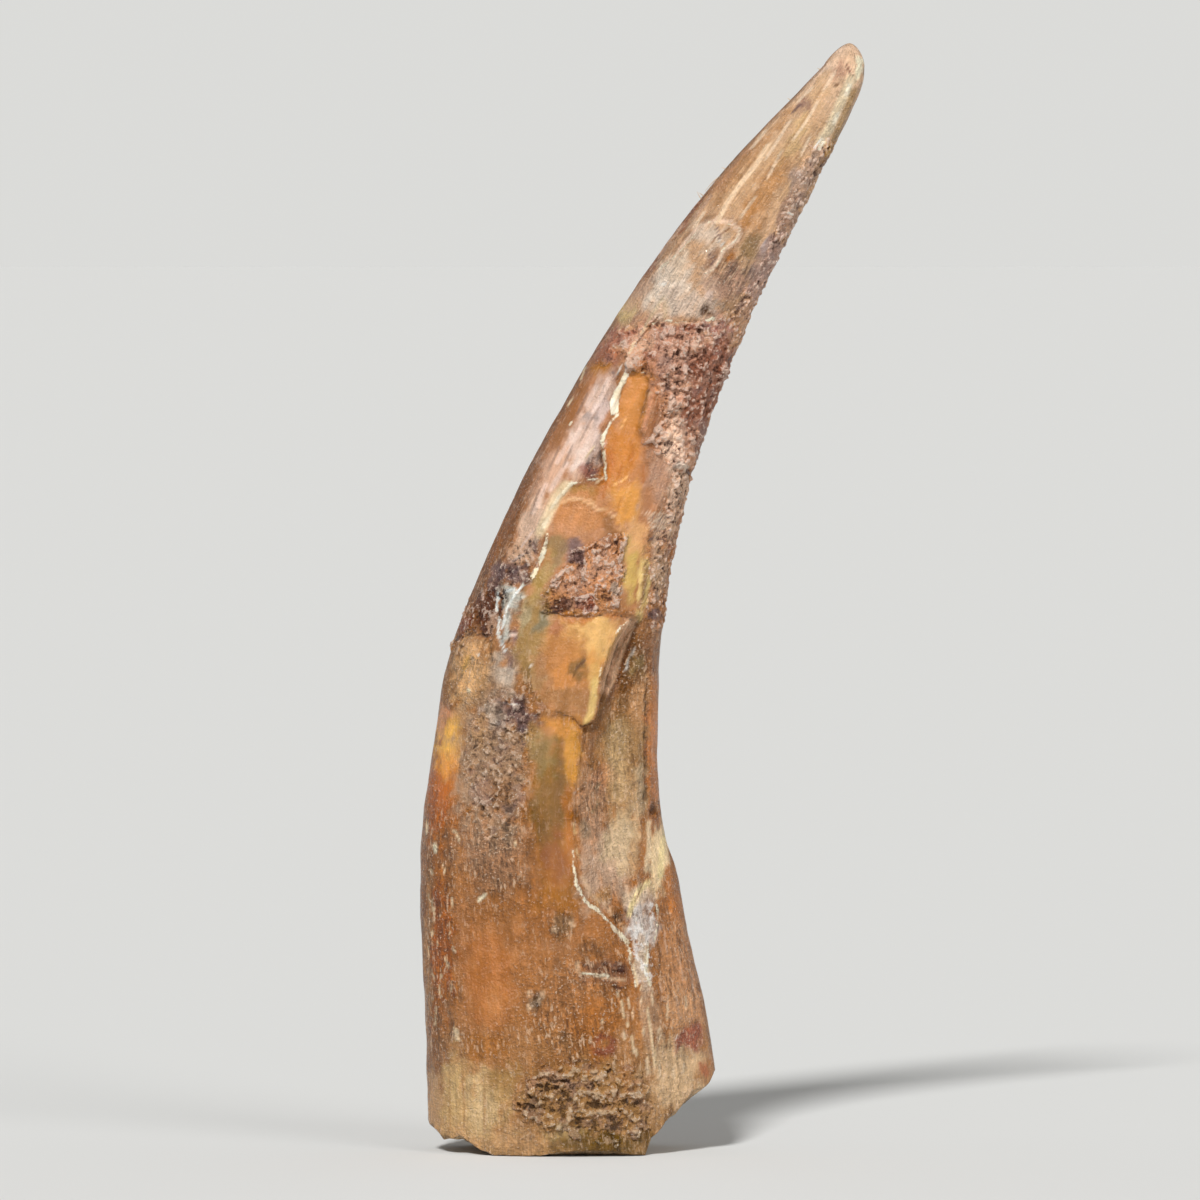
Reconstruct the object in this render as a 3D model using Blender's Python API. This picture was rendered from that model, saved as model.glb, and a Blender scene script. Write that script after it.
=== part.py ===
"""A fossil pterosaur tooth that stands on the break across its root.

Blender 4.5, metres, +Z up. The origin is the middle of the flat part of the break, which the tooth
rests on. The tip leans to +X, so +X is the concave rear edge and -X the convex front edge. The face
with the long chip scar looks along -Y. Dimensions below are in millimetres.
"""

import math

import bmesh
import bpy
from mathutils import Vector, noise

MM = 0.001

# The outline of the whole tooth, as (height, x) along each edge.
HEIGHT = 40.0
CAP_HEIGHT = 0.8
TIP_X = 10.45
CONVEX_EDGE = [
    (0.0, -4.79), (2.5, -4.80), (5.0, -4.95), (8.5, -5.08), (11.5, -5.00), (14.5, -4.61), (17.5, -4.12),
    (20.0, -3.24), (23.0, -1.95), (26.5, -0.18), (30.8, 2.44), (35.1, 5.65), (39.2, 9.52),
]
CONCAVE_EDGE = [
    (0.0, 5.80), (2.8, 5.62), (5.0, 5.27), (7.0, 4.78), (8.5, 4.43), (9.9, 4.27), (11.4, 3.82), (13.5, 3.56),
    (16.5, 3.53), (19.3, 3.71), (22.0, 4.18), (25.5, 5.12), (29.5, 6.58), (34.0, 8.70),
    (37.3, 10.40), (38.6, 10.95), (39.2, 11.00),
]
# How thick the tooth is from face to face, as (height, thickness).
THICKNESS = [(0.0, 5.8), (6.0, 6.1), (12.0, 5.8), (18.0, 5.1), (24.0, 4.2), (30.0, 3.3), (35.0, 2.4), (39.2, 1.25)]
SIDEWAYS_LEAN = 0.7
# The root narrows to a blunt keel along the concave edge, as (height, share of thickness lost).
KEEL = [(0.0, 0.30), (8.0, 0.28), (16.0, 0.16), (26.0, 0.06), (39.2, 0.0)]

# The break across the root, as (x, height): level where it rests, broken off at both corners.
BREAK = [
    (-4.80, 1.25), (-4.15, 0.58), (-3.52, 0.62), (-2.94, 0.20), (-2.40, 0.0), (3.10, 0.0),
    (3.16, 0.66), (3.60, 1.08), (4.02, 1.42), (4.67, 2.05), (5.13, 2.40), (5.46, 2.56), (5.64, 2.94),
]
BREAK_ROUGHNESS = 0.22
FACE_CHIP_DEPTH, FACE_CHIP_RISE, FACE_CHIP_X, FACE_CHIP_HALF = 0.7, 0.2, 1.2, 2.0

# Scars and crusts on the -Y face, each an outline of (x, height).
CHIP_SCAR = [
    (3.23, 20.00), (2.73, 19.35), (2.26, 19.00), (1.87, 18.46), (1.44, 17.20), (1.33, 15.94), (0.83, 15.44),
    (0.68, 14.18), (0.50, 13.00), (0.47, 11.96), (0.61, 9.91), (0.97, 9.12), (1.69, 8.51), (2.44, 7.61),
    (2.37, 8.33), (2.80, 10.13), (3.12, 12.03), (3.12, 13.43), (3.27, 16.88), (3.27, 18.56),
]
CHIP_LEDGE, CHIP_BOWL, CHIP_BOWL_WIDTH = 0.36, 0.34, 1.1
LOST_ENAMEL = [
    (2.44, 28.19), (3.12, 28.08), (2.80, 26.10), (3.23, 24.99), (3.88, 23.59), (3.16, 21.97), (2.94, 19.57),
    (2.26, 19.00), (1.44, 17.20), (1.22, 15.62), (0.54, 15.76), (-0.97, 16.77), (-1.90, 18.30), (-1.44, 20.00),
    (-0.43, 22.12), (-0.68, 22.66), (0.39, 24.13), (1.65, 24.27), (1.44, 25.67), (2.08, 27.18),
]
ENAMEL_THICKNESS = 0.16
PEBBLED_PATCH = [
    (-1.47, 16.77), (-0.65, 16.01), (-1.08, 15.15), (-1.47, 14.47), (-1.51, 12.78), (-2.12, 11.81),
    (-2.94, 12.78), (-3.27, 14.40), (-3.12, 15.37), (-2.30, 16.19),
]
PEBBLE_SIZE, PEBBLE_HEIGHT = 0.55, 0.07
SAND_CRUST = [
    (-1.44, 2.41), (-1.08, 3.20), (-0.29, 3.63), (0.72, 3.99), (1.87, 3.77), (2.66, 3.20), (3.16, 2.41),
    (3.16, 0.72), (2.23, 0.54), (1.08, 0.61), (0.00, 0.83), (-1.08, 1.26), (-1.62, 1.76),
]
SAND_THICKNESS, SAND_LUMP_SIZE, SAND_LUMP_HEIGHT = 0.16, 0.75, 0.24
RUSTY_CRUST = [
    (3.73, 29.95), (5.42, 30.05), (6.14, 30.48), (7.07, 31.49), (8.15, 34.08), (9.12, 36.37), (10.2, 36.6),
    (8.4, 32.0), (7.2, 28.5), (5.9, 24.5), (4.9, 21.0), (4.1, 20.3), (3.60, 21.2), (3.88, 23.59), (3.23, 24.99),
    (2.80, 26.10), (3.20, 27.68), (2.44, 28.19), (1.80, 27.47), (1.29, 27.90), (2.08, 29.69),
]
RUSTY_THICKNESS, RUSTY_LUMP_SIZE, RUSTY_LUMP_HEIGHT = 0.05, 0.8, 0.07
VEINED_CRUST = [
    (-0.50, 20.50), (0.83, 21.58), (1.44, 22.12), (2.44, 22.26), (2.23, 20.47), (1.44, 19.53), (-0.61, 19.46),
]
VEINED_THICKNESS = 0.08
# A crack down the root, and small pits, each (x, height, radius, depth).
ROOT_CRACK = [(2.44, 7.6), (2.51, 6.3), (2.76, 4.3), (2.98, 3.5), (3.20, 2.3), (3.20, 0.1)]
CRACK_WIDTH, CRACK_DEPTH = 0.4, 0.15
PITS = [(-0.92, 5.78, 0.35, 0.16), (1.80, 6.7, 0.4, 0.14), (-3.9, 17.2, 0.3, 0.1), (2.15, 8.6, 0.3, 0.2)]

# On the +Y face: a shallow chip low on the root, and a strip where the enamel is lost.
BACK_CHIP = [(-2.6, 3.0), (-3.2, 5.5), (-2.9, 8.2), (-1.6, 9.4), (-0.5, 8.0), (-0.4, 5.2), (-1.3, 3.0)]
BACK_CHIP_LEDGE, BACK_CHIP_BOWL, BACK_CHIP_WIDTH = 0.18, 0.15, 0.9
BACK_LOST_ENAMEL = [
    (0.2, 16.5), (-0.9, 18.5), (-0.4, 21.0), (0.9, 23.6), (2.3, 26.0), (3.9, 28.6), (4.5, 28.0),
    (3.6, 25.4), (2.7, 22.6), (2.2, 19.8), (2.3, 17.4), (1.4, 15.8),
]

# Slow swelling of the whole surface.
SWELL_SIZE, SWELL_HEIGHT = 4.5, 0.07

# How finely the surface is divided. Columns crowd towards the middle of each face, rings towards the root.
COLUMNS, COLUMN_CROWDING = 72, 0.1
SIDE_RINGS, RING_CROWDING = 57, 1.3
CAP_RINGS = 5
BREAK_ROWS = 8


def smooth_curve(points):
    """A smooth function through (position, value) points, held at its end values outside them."""
    slopes = []
    for i in range(len(points)):
        before, after = points[max(i - 1, 0)], points[min(i + 1, len(points) - 1)]
        slopes.append((after[1] - before[1]) / (after[0] - before[0]))

    def at(position):
        if position <= points[0][0]:
            return points[0][1]
        for (x0, y0), (x1, y1), m0, m1 in zip(points, points[1:], slopes, slopes[1:]):
            if position <= x1:
                span = x1 - x0
                t = (position - x0) / span
                hermite = (2 * t**3 - 3 * t**2 + 1) * y0 + (3 * t**2 - 2 * t**3) * y1
                return hermite + span * ((t**3 - 2 * t**2 + t) * m0 + (t**3 - t**2) * m1)
        return points[-1][1]

    return at


def ramp(value, low, high):
    """0 below low, 1 above high, and a smooth step between."""
    t = min(max((value - low) / (high - low), 0.0), 1.0)
    return t * t * (3 - 2 * t)


def distance_to_line(x, z, points):
    """The distance from a point to the nearest stretch of a line of (x, height) points."""
    nearest = math.inf
    for (ax, az), (bx, bz) in zip(points, points[1:]):
        along_x, along_z = bx - ax, bz - az
        share = ((x - ax) * along_x + (z - az) * along_z) / (along_x**2 + along_z**2)
        share = min(max(share, 0.0), 1.0)
        nearest = min(nearest, math.hypot(x - ax - share * along_x, z - az - share * along_z))
    return nearest


def depth_inside(x, z, outline):
    """How far a point is inside an outline: negative outside it."""
    ring = outline + outline[:1]
    inside = False
    for (ax, az), (bx, bz) in zip(ring, ring[1:]):
        if (az > z) != (bz > z) and x < ax + (bx - ax) * (z - az) / (bz - az):
            inside = not inside
    distance = distance_to_line(x, z, ring)
    return distance if inside else -distance


def lumps(x, y, z, size, seed):
    """Rounded noise between about -1 and 1, with features about size across."""
    return noise.fractal(Vector((x, y + seed, z)) / size, 0.8, 2.1, 3) * 1.3


convex_edge = smooth_curve(CONVEX_EDGE)
concave_edge = smooth_curve(CONCAVE_EDGE)
thickness_at = smooth_curve(THICKNESS)
keel_at = smooth_curve(KEEL)
ROOT_HALF_THICKNESS = thickness_at(0.0) / 2


def section(z):
    """(centre x, half width, centre y, half thickness) of the horizontal section at a height."""
    cap_start = HEIGHT - CAP_HEIGHT
    level = min(z, cap_start)
    left, right = convex_edge(level), concave_edge(level)
    centre, half = (left + right) / 2, (right - left) / 2
    half_thickness = thickness_at(level) / 2
    if z > cap_start:
        into_cap = min((z - cap_start) / CAP_HEIGHT, 1.0)
        roundness = (1 - into_cap**1.5) ** 0.6
        centre += (TIP_X - centre) * into_cap
        half *= roundness
        half_thickness *= roundness
    return centre, half, SIDEWAYS_LEAN * (z / HEIGHT) ** 2, half_thickness


def plain_surface(z, angle):
    """A point of the unbroken tooth, at a height and an angle round its section."""
    centre_x, half, centre_y, half_thickness = section(z)
    keel = 1 - keel_at(z) * max(math.cos(angle), 0.0) ** 2
    return centre_x + half * math.cos(angle), centre_y + half_thickness * math.sin(angle) * keel


def break_height(x, y):
    """The height of the break across the root."""
    height = BREAK[0][1] if x < BREAK[0][0] else BREAK[-1][1]
    for (x0, z0), (x1, z1) in zip(BREAK, BREAK[1:]):
        if x0 <= x <= x1:
            height = z0 + (z1 - z0) * (x - x0) / (x1 - x0)
    rough = BREAK_ROUGHNESS * lumps(x, y, 0.0, 1.1, 7.0) * ramp(height, 0.05, 0.6)
    across = max(0.0, 1 - ((x - FACE_CHIP_X) / FACE_CHIP_HALF) ** 2)
    face_y = plain_surface(0.0, -math.pi / 2)[1]
    face_chip = FACE_CHIP_RISE * across * ramp(face_y + FACE_CHIP_DEPTH - y, 0.0, FACE_CHIP_DEPTH)
    return max(height + rough, 0.0) + face_chip


def scarred_face_relief(x, y, z):
    """How far the -Y face stands out from the plain tooth: negative where it is chipped away."""
    scar = depth_inside(x, z, CHIP_SCAR)
    relief = -CHIP_LEDGE * ramp(scar, -0.05, 0.22) - CHIP_BOWL * ramp(scar, 0.1, CHIP_BOWL_WIDTH)
    relief -= ENAMEL_THICKNESS * ramp(depth_inside(x, z, LOST_ENAMEL), -0.1, 0.15)
    pebbled = ramp(depth_inside(x, z, PEBBLED_PATCH), -0.1, 0.4)
    relief += pebbled * PEBBLE_HEIGHT * lumps(x, y, z, PEBBLE_SIZE, 21.0)
    sand = ramp(depth_inside(x, z, SAND_CRUST), -0.1, 0.4)
    relief += sand * (SAND_THICKNESS + SAND_LUMP_HEIGHT * lumps(x, y, z, SAND_LUMP_SIZE, 33.0))
    rust = ramp(depth_inside(x, z, RUSTY_CRUST), -0.1, 0.4)
    relief += rust * (RUSTY_THICKNESS + RUSTY_LUMP_HEIGHT * lumps(x, y, z, RUSTY_LUMP_SIZE, 45.0))
    relief += VEINED_THICKNESS * ramp(depth_inside(x, z, VEINED_CRUST), -0.1, 0.3)
    relief -= CRACK_DEPTH * ramp(CRACK_WIDTH - distance_to_line(x, z, ROOT_CRACK), 0.0, CRACK_WIDTH)
    for pit_x, pit_z, radius, depth in PITS:
        relief -= depth * ramp(1.5 * radius - math.hypot(x - pit_x, z - pit_z), 0.0, 1.5 * radius)
    return relief


def plain_face_relief(x, z):
    """The same for the +Y face."""
    chip = depth_inside(x, z, BACK_CHIP)
    relief = -BACK_CHIP_LEDGE * ramp(chip, -0.05, 0.25) - BACK_CHIP_BOWL * ramp(chip, 0.1, BACK_CHIP_WIDTH)
    return relief - ENAMEL_THICKNESS * ramp(depth_inside(x, z, BACK_LOST_ENAMEL), -0.1, 0.2)


def side_point(z, angle):
    """A point on the finished side of the tooth."""
    x, y = plain_surface(z, angle)
    half, half_thickness = section(z)[1::2]
    outward = Vector((math.cos(angle) / max(half, 0.01), math.sin(angle) / max(half_thickness, 0.01)))
    outward.normalize()
    relief = SWELL_HEIGHT * half_thickness / ROOT_HALF_THICKNESS * lumps(x, y, z, SWELL_SIZE, 3.0)
    if math.sin(angle) < 0:
        relief += ramp(-math.sin(angle), 0.02, 0.4) * scarred_face_relief(x, y, z)
    else:
        relief += ramp(math.sin(angle), 0.02, 0.4) * plain_face_relief(x, z)
    relief *= ramp(HEIGHT - z, 0.0, 1.5)
    return Vector((x + outward.x * relief, y + outward.y * relief, z))


def column_angle(column):
    """The angle round the section of a column: column 0 is the concave edge."""
    even = 2 * math.pi * column / COLUMNS
    return even + COLUMN_CROWDING * math.sin(2 * even)


def rim_height(angle):
    """The height at which the break meets the side, at an angle round the section."""
    height = 0.0
    for _ in range(6):
        x, y, _height = side_point(height, angle)
        height = break_height(x, y)
    return height


def column_points(column):
    """The points of a column, from the rim of the break up to the last ring below the tip."""
    angle = column_angle(column)
    cap_start = HEIGHT - CAP_HEIGHT
    rim = rim_height(angle)
    heights = [rim + (cap_start - rim) * (ring / SIDE_RINGS) ** RING_CROWDING for ring in range(SIDE_RINGS)]
    heights += [cap_start + CAP_HEIGHT * math.sin(ring / CAP_RINGS * math.pi / 2) for ring in range(CAP_RINGS)]
    return [side_point(height, angle) for height in heights]


def break_row(front, back):
    """The points across the break between two points of its rim that lie at the same x."""
    points = []
    for step in range(1, BREAK_ROWS):
        x, y, _height = front.lerp(back, step / BREAK_ROWS)
        points.append(Vector((x, y, break_height(x, y))))
    return points


def add_strip(bm, lower, upper):
    """Faces between two rows of vertices: a row of one vertex makes a fan."""
    for i in range(max(len(lower), len(upper)) - 1):
        corners = [lower[min(i, len(lower) - 1)], lower[min(i + 1, len(lower) - 1)]]
        corners += [upper[min(i + 1, len(upper) - 1)], upper[min(i, len(upper) - 1)]]
        bm.faces.new(list(dict.fromkeys(corners)))


def make_tooth():
    """A loft up columns of unlike sections, closed by the tip above and by rows across the break below."""
    bm = bmesh.new()
    columns = [[bm.verts.new(point * MM) for point in column_points(column)] for column in range(COLUMNS)]
    rings = [list(ring) + [ring[0]] for ring in zip(*columns)]
    rings.append([bm.verts.new(side_point(HEIGHT, 0.0) * MM)])
    for lower, upper in zip(rings, rings[1:]):
        add_strip(bm, lower, upper)

    rim = [column[0] for column in columns]
    rows = [[rim[0]]]
    for back, front in zip(rim[1 : COLUMNS // 2], reversed(rim[COLUMNS // 2 + 1 :])):
        inner = [bm.verts.new(point * MM) for point in break_row(front.co / MM, back.co / MM)]
        rows.append([front] + inner + [back])
    rows.append([rim[COLUMNS // 2]])
    for lower, upper in zip(rows, rows[1:]):
        add_strip(bm, lower, upper)

    bmesh.ops.recalc_face_normals(bm, faces=bm.faces)
    mesh = bpy.data.meshes.new("tooth")
    bm.to_mesh(mesh)
    bm.free()
    mesh.shade_smooth()
    mesh.set_sharp_from_angle(angle=math.radians(40))
    return bpy.data.objects.new("tooth", mesh)


def fossil_tooth_material():
    """Tea-brown enamel and dentine, worn to a low shine."""
    material = bpy.data.materials.new("fossil_tooth")
    material.use_nodes = True
    surface = material.node_tree.nodes["Principled BSDF"]
    surface.inputs["Base Color"].default_value = (0.33, 0.17, 0.08, 1.0)
    surface.inputs["Roughness"].default_value = 0.42
    surface.inputs["Metallic"].default_value = 0.0
    return material


def clear_scene():
    for old in list(bpy.data.objects):
        bpy.data.objects.remove(old, do_unlink=True)


def main():
    clear_scene()
    collection = bpy.data.collections.new("fossil_pterosaur_tooth")
    bpy.context.scene.collection.children.link(collection)
    tooth = make_tooth()
    tooth.data.materials.append(fossil_tooth_material())
    collection.objects.link(tooth)


main()
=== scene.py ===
"""A fossil pterosaur tooth, dressed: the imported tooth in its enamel, dentine, scars and crusts.

The tooth is a loft of horizontal sections. Every mark on it is an outline or a line in millimetres of
(x, height) on one of its two faces. The same marks raise the surface, colour it and set its gloss.
Lengths are in millimetres until a mesh is made.
"""

import functools
import math

import bpy
import numpy as np
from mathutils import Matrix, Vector, noise


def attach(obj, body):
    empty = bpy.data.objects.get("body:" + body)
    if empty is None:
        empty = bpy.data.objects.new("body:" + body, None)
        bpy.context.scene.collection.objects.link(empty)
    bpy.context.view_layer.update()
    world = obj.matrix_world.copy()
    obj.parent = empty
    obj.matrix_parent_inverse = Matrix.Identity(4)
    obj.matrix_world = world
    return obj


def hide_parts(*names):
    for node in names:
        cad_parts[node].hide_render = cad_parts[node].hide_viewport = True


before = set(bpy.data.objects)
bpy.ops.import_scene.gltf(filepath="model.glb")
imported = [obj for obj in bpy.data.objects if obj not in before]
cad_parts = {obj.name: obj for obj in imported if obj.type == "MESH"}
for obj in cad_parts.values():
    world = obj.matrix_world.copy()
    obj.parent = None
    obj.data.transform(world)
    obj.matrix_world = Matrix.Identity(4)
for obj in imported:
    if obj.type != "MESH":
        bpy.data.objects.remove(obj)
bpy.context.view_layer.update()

MM = 0.001

# --- The shape of the tooth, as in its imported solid. Curves are (height, value) and outlines (x, height). ---

HEIGHT = 40.0
CAP_HEIGHT = 0.8
TIP_X = 10.45
CONVEX_EDGE = [
    (0.0, -4.79), (2.5, -4.80), (5.0, -4.95), (8.5, -5.08), (11.5, -5.00), (14.5, -4.61), (17.5, -4.12),
    (20.0, -3.24), (23.0, -1.95), (26.5, -0.18), (30.8, 2.44), (35.1, 5.65), (39.2, 9.52),
]
CONCAVE_EDGE = [
    (0.0, 5.80), (2.8, 5.62), (5.0, 5.27), (7.0, 4.78), (8.5, 4.43), (9.9, 4.27), (11.4, 3.82), (13.5, 3.56),
    (16.5, 3.53), (19.3, 3.71), (22.0, 4.18), (25.5, 5.12), (29.5, 6.58), (34.0, 8.70),
    (37.3, 10.40), (38.6, 10.95), (39.2, 11.00),
]
THICKNESS = [
    (0.0, 5.8), (6.0, 6.1), (12.0, 5.8), (18.0, 5.1), (24.0, 4.2), (30.0, 3.3), (35.0, 2.4), (39.2, 1.25),
]
SIDEWAYS_LEAN = 0.7
KEEL = [(0.0, 0.30), (8.0, 0.28), (16.0, 0.16), (26.0, 0.06), (39.2, 0.0)]
BREAK = [
    (-4.80, 1.25), (-4.15, 0.58), (-3.52, 0.62), (-2.94, 0.20), (-2.40, 0.0), (3.10, 0.0),
    (3.16, 0.66), (3.60, 1.08), (4.02, 1.42), (4.67, 2.05), (5.13, 2.40), (5.46, 2.56), (5.64, 2.94),
]
FACE_CHIP_DEPTH, FACE_CHIP_RISE, FACE_CHIP_X, FACE_CHIP_HALF = 0.7, 0.2, 1.2, 2.0

COLUMNS, SIDE_RINGS, CAP_RINGS, UNDER_RINGS = 244, 362, 12, 20
FRONT_CROWDING, ROOT_CROWDING = 0.32, 1.12
RIM_ROUNDS = 6  # how often the rim's height is found again from where the side meets the break

# --- Marks on the scarred face, which looks along -Y ---

WINDOW = [
    (2.44, 28.19), (3.12, 28.08), (3.20, 27.68), (2.98, 27.00), (2.78, 26.15), (3.05, 25.70), (3.20, 25.00),
    (3.20, 24.30), (3.50, 23.50), (3.25, 22.87), (3.16, 21.97), (3.09, 20.90), (2.94, 19.57), (-0.54, 19.57),
    (-1.44, 20.00), (-1.15, 20.72), (-0.61, 21.72), (-0.43, 22.12), (-0.68, 22.66), (0.00, 23.70),
    (0.39, 24.13), (1.65, 24.27), (1.69, 24.74), (1.44, 25.67), (1.76, 26.39), (2.08, 27.18),
]
ENAMEL_STEP = 0.16
STAIN_BAND = [
    (-1.44, 20.00), (-0.54, 19.57), (-0.90, 18.20), (-0.97, 16.77), (-0.54, 16.00), (-0.79, 14.97),
    (-0.90, 12.82), (-1.30, 13.50), (-1.30, 15.20), (-0.90, 16.00), (-1.50, 17.00), (-1.90, 18.30),
]
SLAB = [
    (-1.01, 19.50), (1.44, 19.61), (2.73, 19.35), (2.26, 19.00), (1.87, 18.46), (1.62, 17.81), (1.44, 17.20),
    (1.44, 16.62), (1.33, 15.94), (1.22, 15.62), (0.83, 15.44), (0.54, 15.76), (-0.14, 15.98), (-0.54, 16.19),
    (-0.97, 16.77), (-1.18, 18.20),
]
SECOND_PANEL = [
    (-0.54, 15.98), (0.54, 15.76), (0.83, 15.44), (0.86, 15.04), (0.68, 14.18), (0.50, 13.00), (0.47, 11.96),
    (0.57, 10.88), (0.61, 9.91), (0.00, 9.23), (-0.72, 10.66), (-0.90, 12.82), (-0.79, 14.97),
]
LEDGE = [
    (3.23, 20.00), (2.73, 19.35), (2.26, 19.00), (1.87, 18.46), (1.62, 17.81), (1.44, 17.20), (1.44, 16.62),
    (1.33, 15.94), (1.22, 15.62), (0.83, 15.44), (0.86, 15.04), (0.68, 14.18), (0.50, 13.00), (0.47, 11.96),
    (0.57, 10.88), (0.61, 9.91), (0.97, 9.12), (1.69, 8.51), (2.44, 7.61),
]
SCAR_RIGHT_EDGE = [
    (2.44, 7.61), (2.37, 8.33), (2.51, 9.23), (2.80, 10.13), (3.09, 11.24), (3.12, 12.03), (3.16, 12.71),
    (3.12, 13.43), (3.16, 14.90), (3.27, 16.88), (3.27, 18.56), (3.23, 20.00),
]
GROOVE = [(2.76, 19.21), (2.55, 18.53), (2.26, 17.81), (2.05, 17.02), (1.65, 16.34)]
VEINED_CRUST = [
    (-0.50, 20.50), (0.07, 21.22), (0.70, 21.90), (1.44, 22.20), (1.72, 22.26), (2.44, 22.40), (2.36, 21.58),
    (2.33, 20.47), (2.20, 19.70), (1.44, 19.55), (0.61, 19.42), (-0.61, 19.46), (-0.54, 20.14),
]
PEBBLED_PATCH = [
    (-1.30, 16.90), (-0.60, 16.10), (-0.95, 15.15), (-1.15, 14.47), (-1.25, 13.68), (-1.20, 12.78),
    (-1.45, 12.10), (-2.00, 11.30), (-2.75, 11.60), (-3.25, 12.40), (-3.40, 13.43), (-3.45, 14.40),
    (-3.30, 15.37), (-2.95, 15.90), (-2.40, 16.60),
]
RUSTY_CRUST = [
    (3.73, 29.95), (4.78, 29.87), (5.42, 30.05), (6.14, 30.48), (7.07, 31.49), (7.58, 32.78), (8.15, 34.08),
    (8.47, 35.01), (9.12, 36.37), (10.2, 36.6), (8.4, 32.0), (7.2, 28.5), (5.9, 24.5), (4.9, 21.0),
    (4.3, 18.9), (3.25, 18.9), (3.12, 19.6), (3.22, 20.6), (3.15, 21.6), (3.40, 22.2), (3.95, 22.6),
    (3.80, 23.4), (4.05, 24.1), (4.00, 24.8), (3.45, 25.1), (3.40, 25.45), (3.12, 25.68), (3.45, 26.10),
    (3.72, 26.50), (3.62, 26.95), (3.52, 27.30), (3.34, 27.55), (3.20, 28.05), (2.44, 28.22), (2.15, 28.70),
    (1.55, 28.35), (1.20, 28.40), (1.65, 29.16), (2.08, 29.69), (2.87, 29.87),
]
DARK_FLAKED_ENAMEL = [
    (-2.94, 20.00), (-2.30, 20.95), (-1.80, 21.75), (-1.00, 22.20), (-0.85, 21.60), (-1.08, 20.79),
    (-1.87, 20.14), (-2.25, 19.21), (-2.55, 18.64), (-3.23, 18.71), (-3.88, 18.28), (-3.59, 18.92),
]
CALCITE = [
    (2.37, 8.33), (2.87, 8.94), (3.38, 9.05), (3.45, 8.33), (3.30, 7.61), (3.34, 6.54), (3.23, 6.14),
    (2.87, 6.18), (2.66, 6.89), (2.44, 7.61),
]
SAND_CRUST = [
    (-1.44, 2.31), (-1.08, 2.90), (-0.29, 3.30), (0.72, 3.45), (1.87, 3.30), (2.66, 2.90), (3.16, 2.41),
    (3.23, 1.51), (3.16, 0.80), (2.23, 0.75), (1.08, 0.80), (0.00, 0.83), (-1.08, 1.36), (-1.62, 1.76),
]
LEFT_PATCH = [
    (-3.95, 18.20), (-3.23, 18.64), (-2.55, 18.56), (-2.48, 17.70), (-2.55, 16.41), (-3.23, 15.98),
    (-4.3, 16.0), (-4.4, 17.3),
]
CREAM_WEDGE = [
    (2.50, 28.30), (2.25, 27.76), (2.12, 27.47), (2.08, 26.61), (1.83, 26.61), (1.78, 27.04), (1.97, 27.50),
]
ROOT_RIDGE = [
    (2.44, 7.61), (2.51, 6.25), (2.59, 5.35), (2.76, 4.27), (2.98, 3.55), (3.20, 2.30), (3.23, 1.44),
    (3.16, 0.07),
]

# --- Marks on the other face ---

BACK_CHIP = [(-2.6, 3.0), (-3.2, 5.5), (-2.9, 8.2), (-1.6, 9.4), (-0.5, 8.0), (-0.4, 5.2), (-1.3, 3.0)]
BACK_LOST_ENAMEL = [
    (0.2, 16.5), (-0.9, 18.5), (-0.4, 21.0), (0.9, 23.6), (2.3, 26.0), (3.9, 28.6), (4.5, 28.0), (3.6, 25.4),
    (2.7, 22.6), (2.2, 19.8), (2.3, 17.4), (1.4, 15.8),
]
BACK_SAND = [(0.6, 0.7), (0.9, 2.6), (2.0, 4.4), (3.4, 4.8), (4.5, 3.9), (4.4, 2.4), (3.1, 0.7)]
BACK_RUST = [
    (7.3, 32.5), (6.2, 31.2), (4.9, 30.7), (3.9, 30.2), (4.6, 29.2), (5.0, 27.6), (4.7, 26.0), (4.2, 24.4),
    (3.4, 22.6), (3.3, 20.4), (4.2, 20.0), (5.9, 24.5), (7.2, 28.5),
]

# Pits, each (x, height, radius, depth).
PITS = [
    (-0.92, 5.76, 0.11, 0.14), (-0.78, 5.40, 0.09, 0.12), (1.63, 6.85, 0.10, 0.12), (2.16, 6.62, 0.12, 0.14),
    (-3.9, 17.2, 0.14, 0.12), (-3.6, 16.3, 0.10, 0.08), (2.08, 17.02, 0.14, 0.22), (3.40, 12.25, 0.14, 0.12),
    (2.12, 8.55, 0.12, 0.20), (0.86, 13.1, 0.09, 0.12), (0.70, 12.2, 0.11, 0.12), (0.98, 15.3, 0.08, 0.10),
    (5.25, 30.32, 0.18, 0.12), (5.65, 30.45, 0.12, 0.08), (1.45, 25.1, 0.07, 0.12), (0.85, 26.7, 0.06, 0.08),
]

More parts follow.
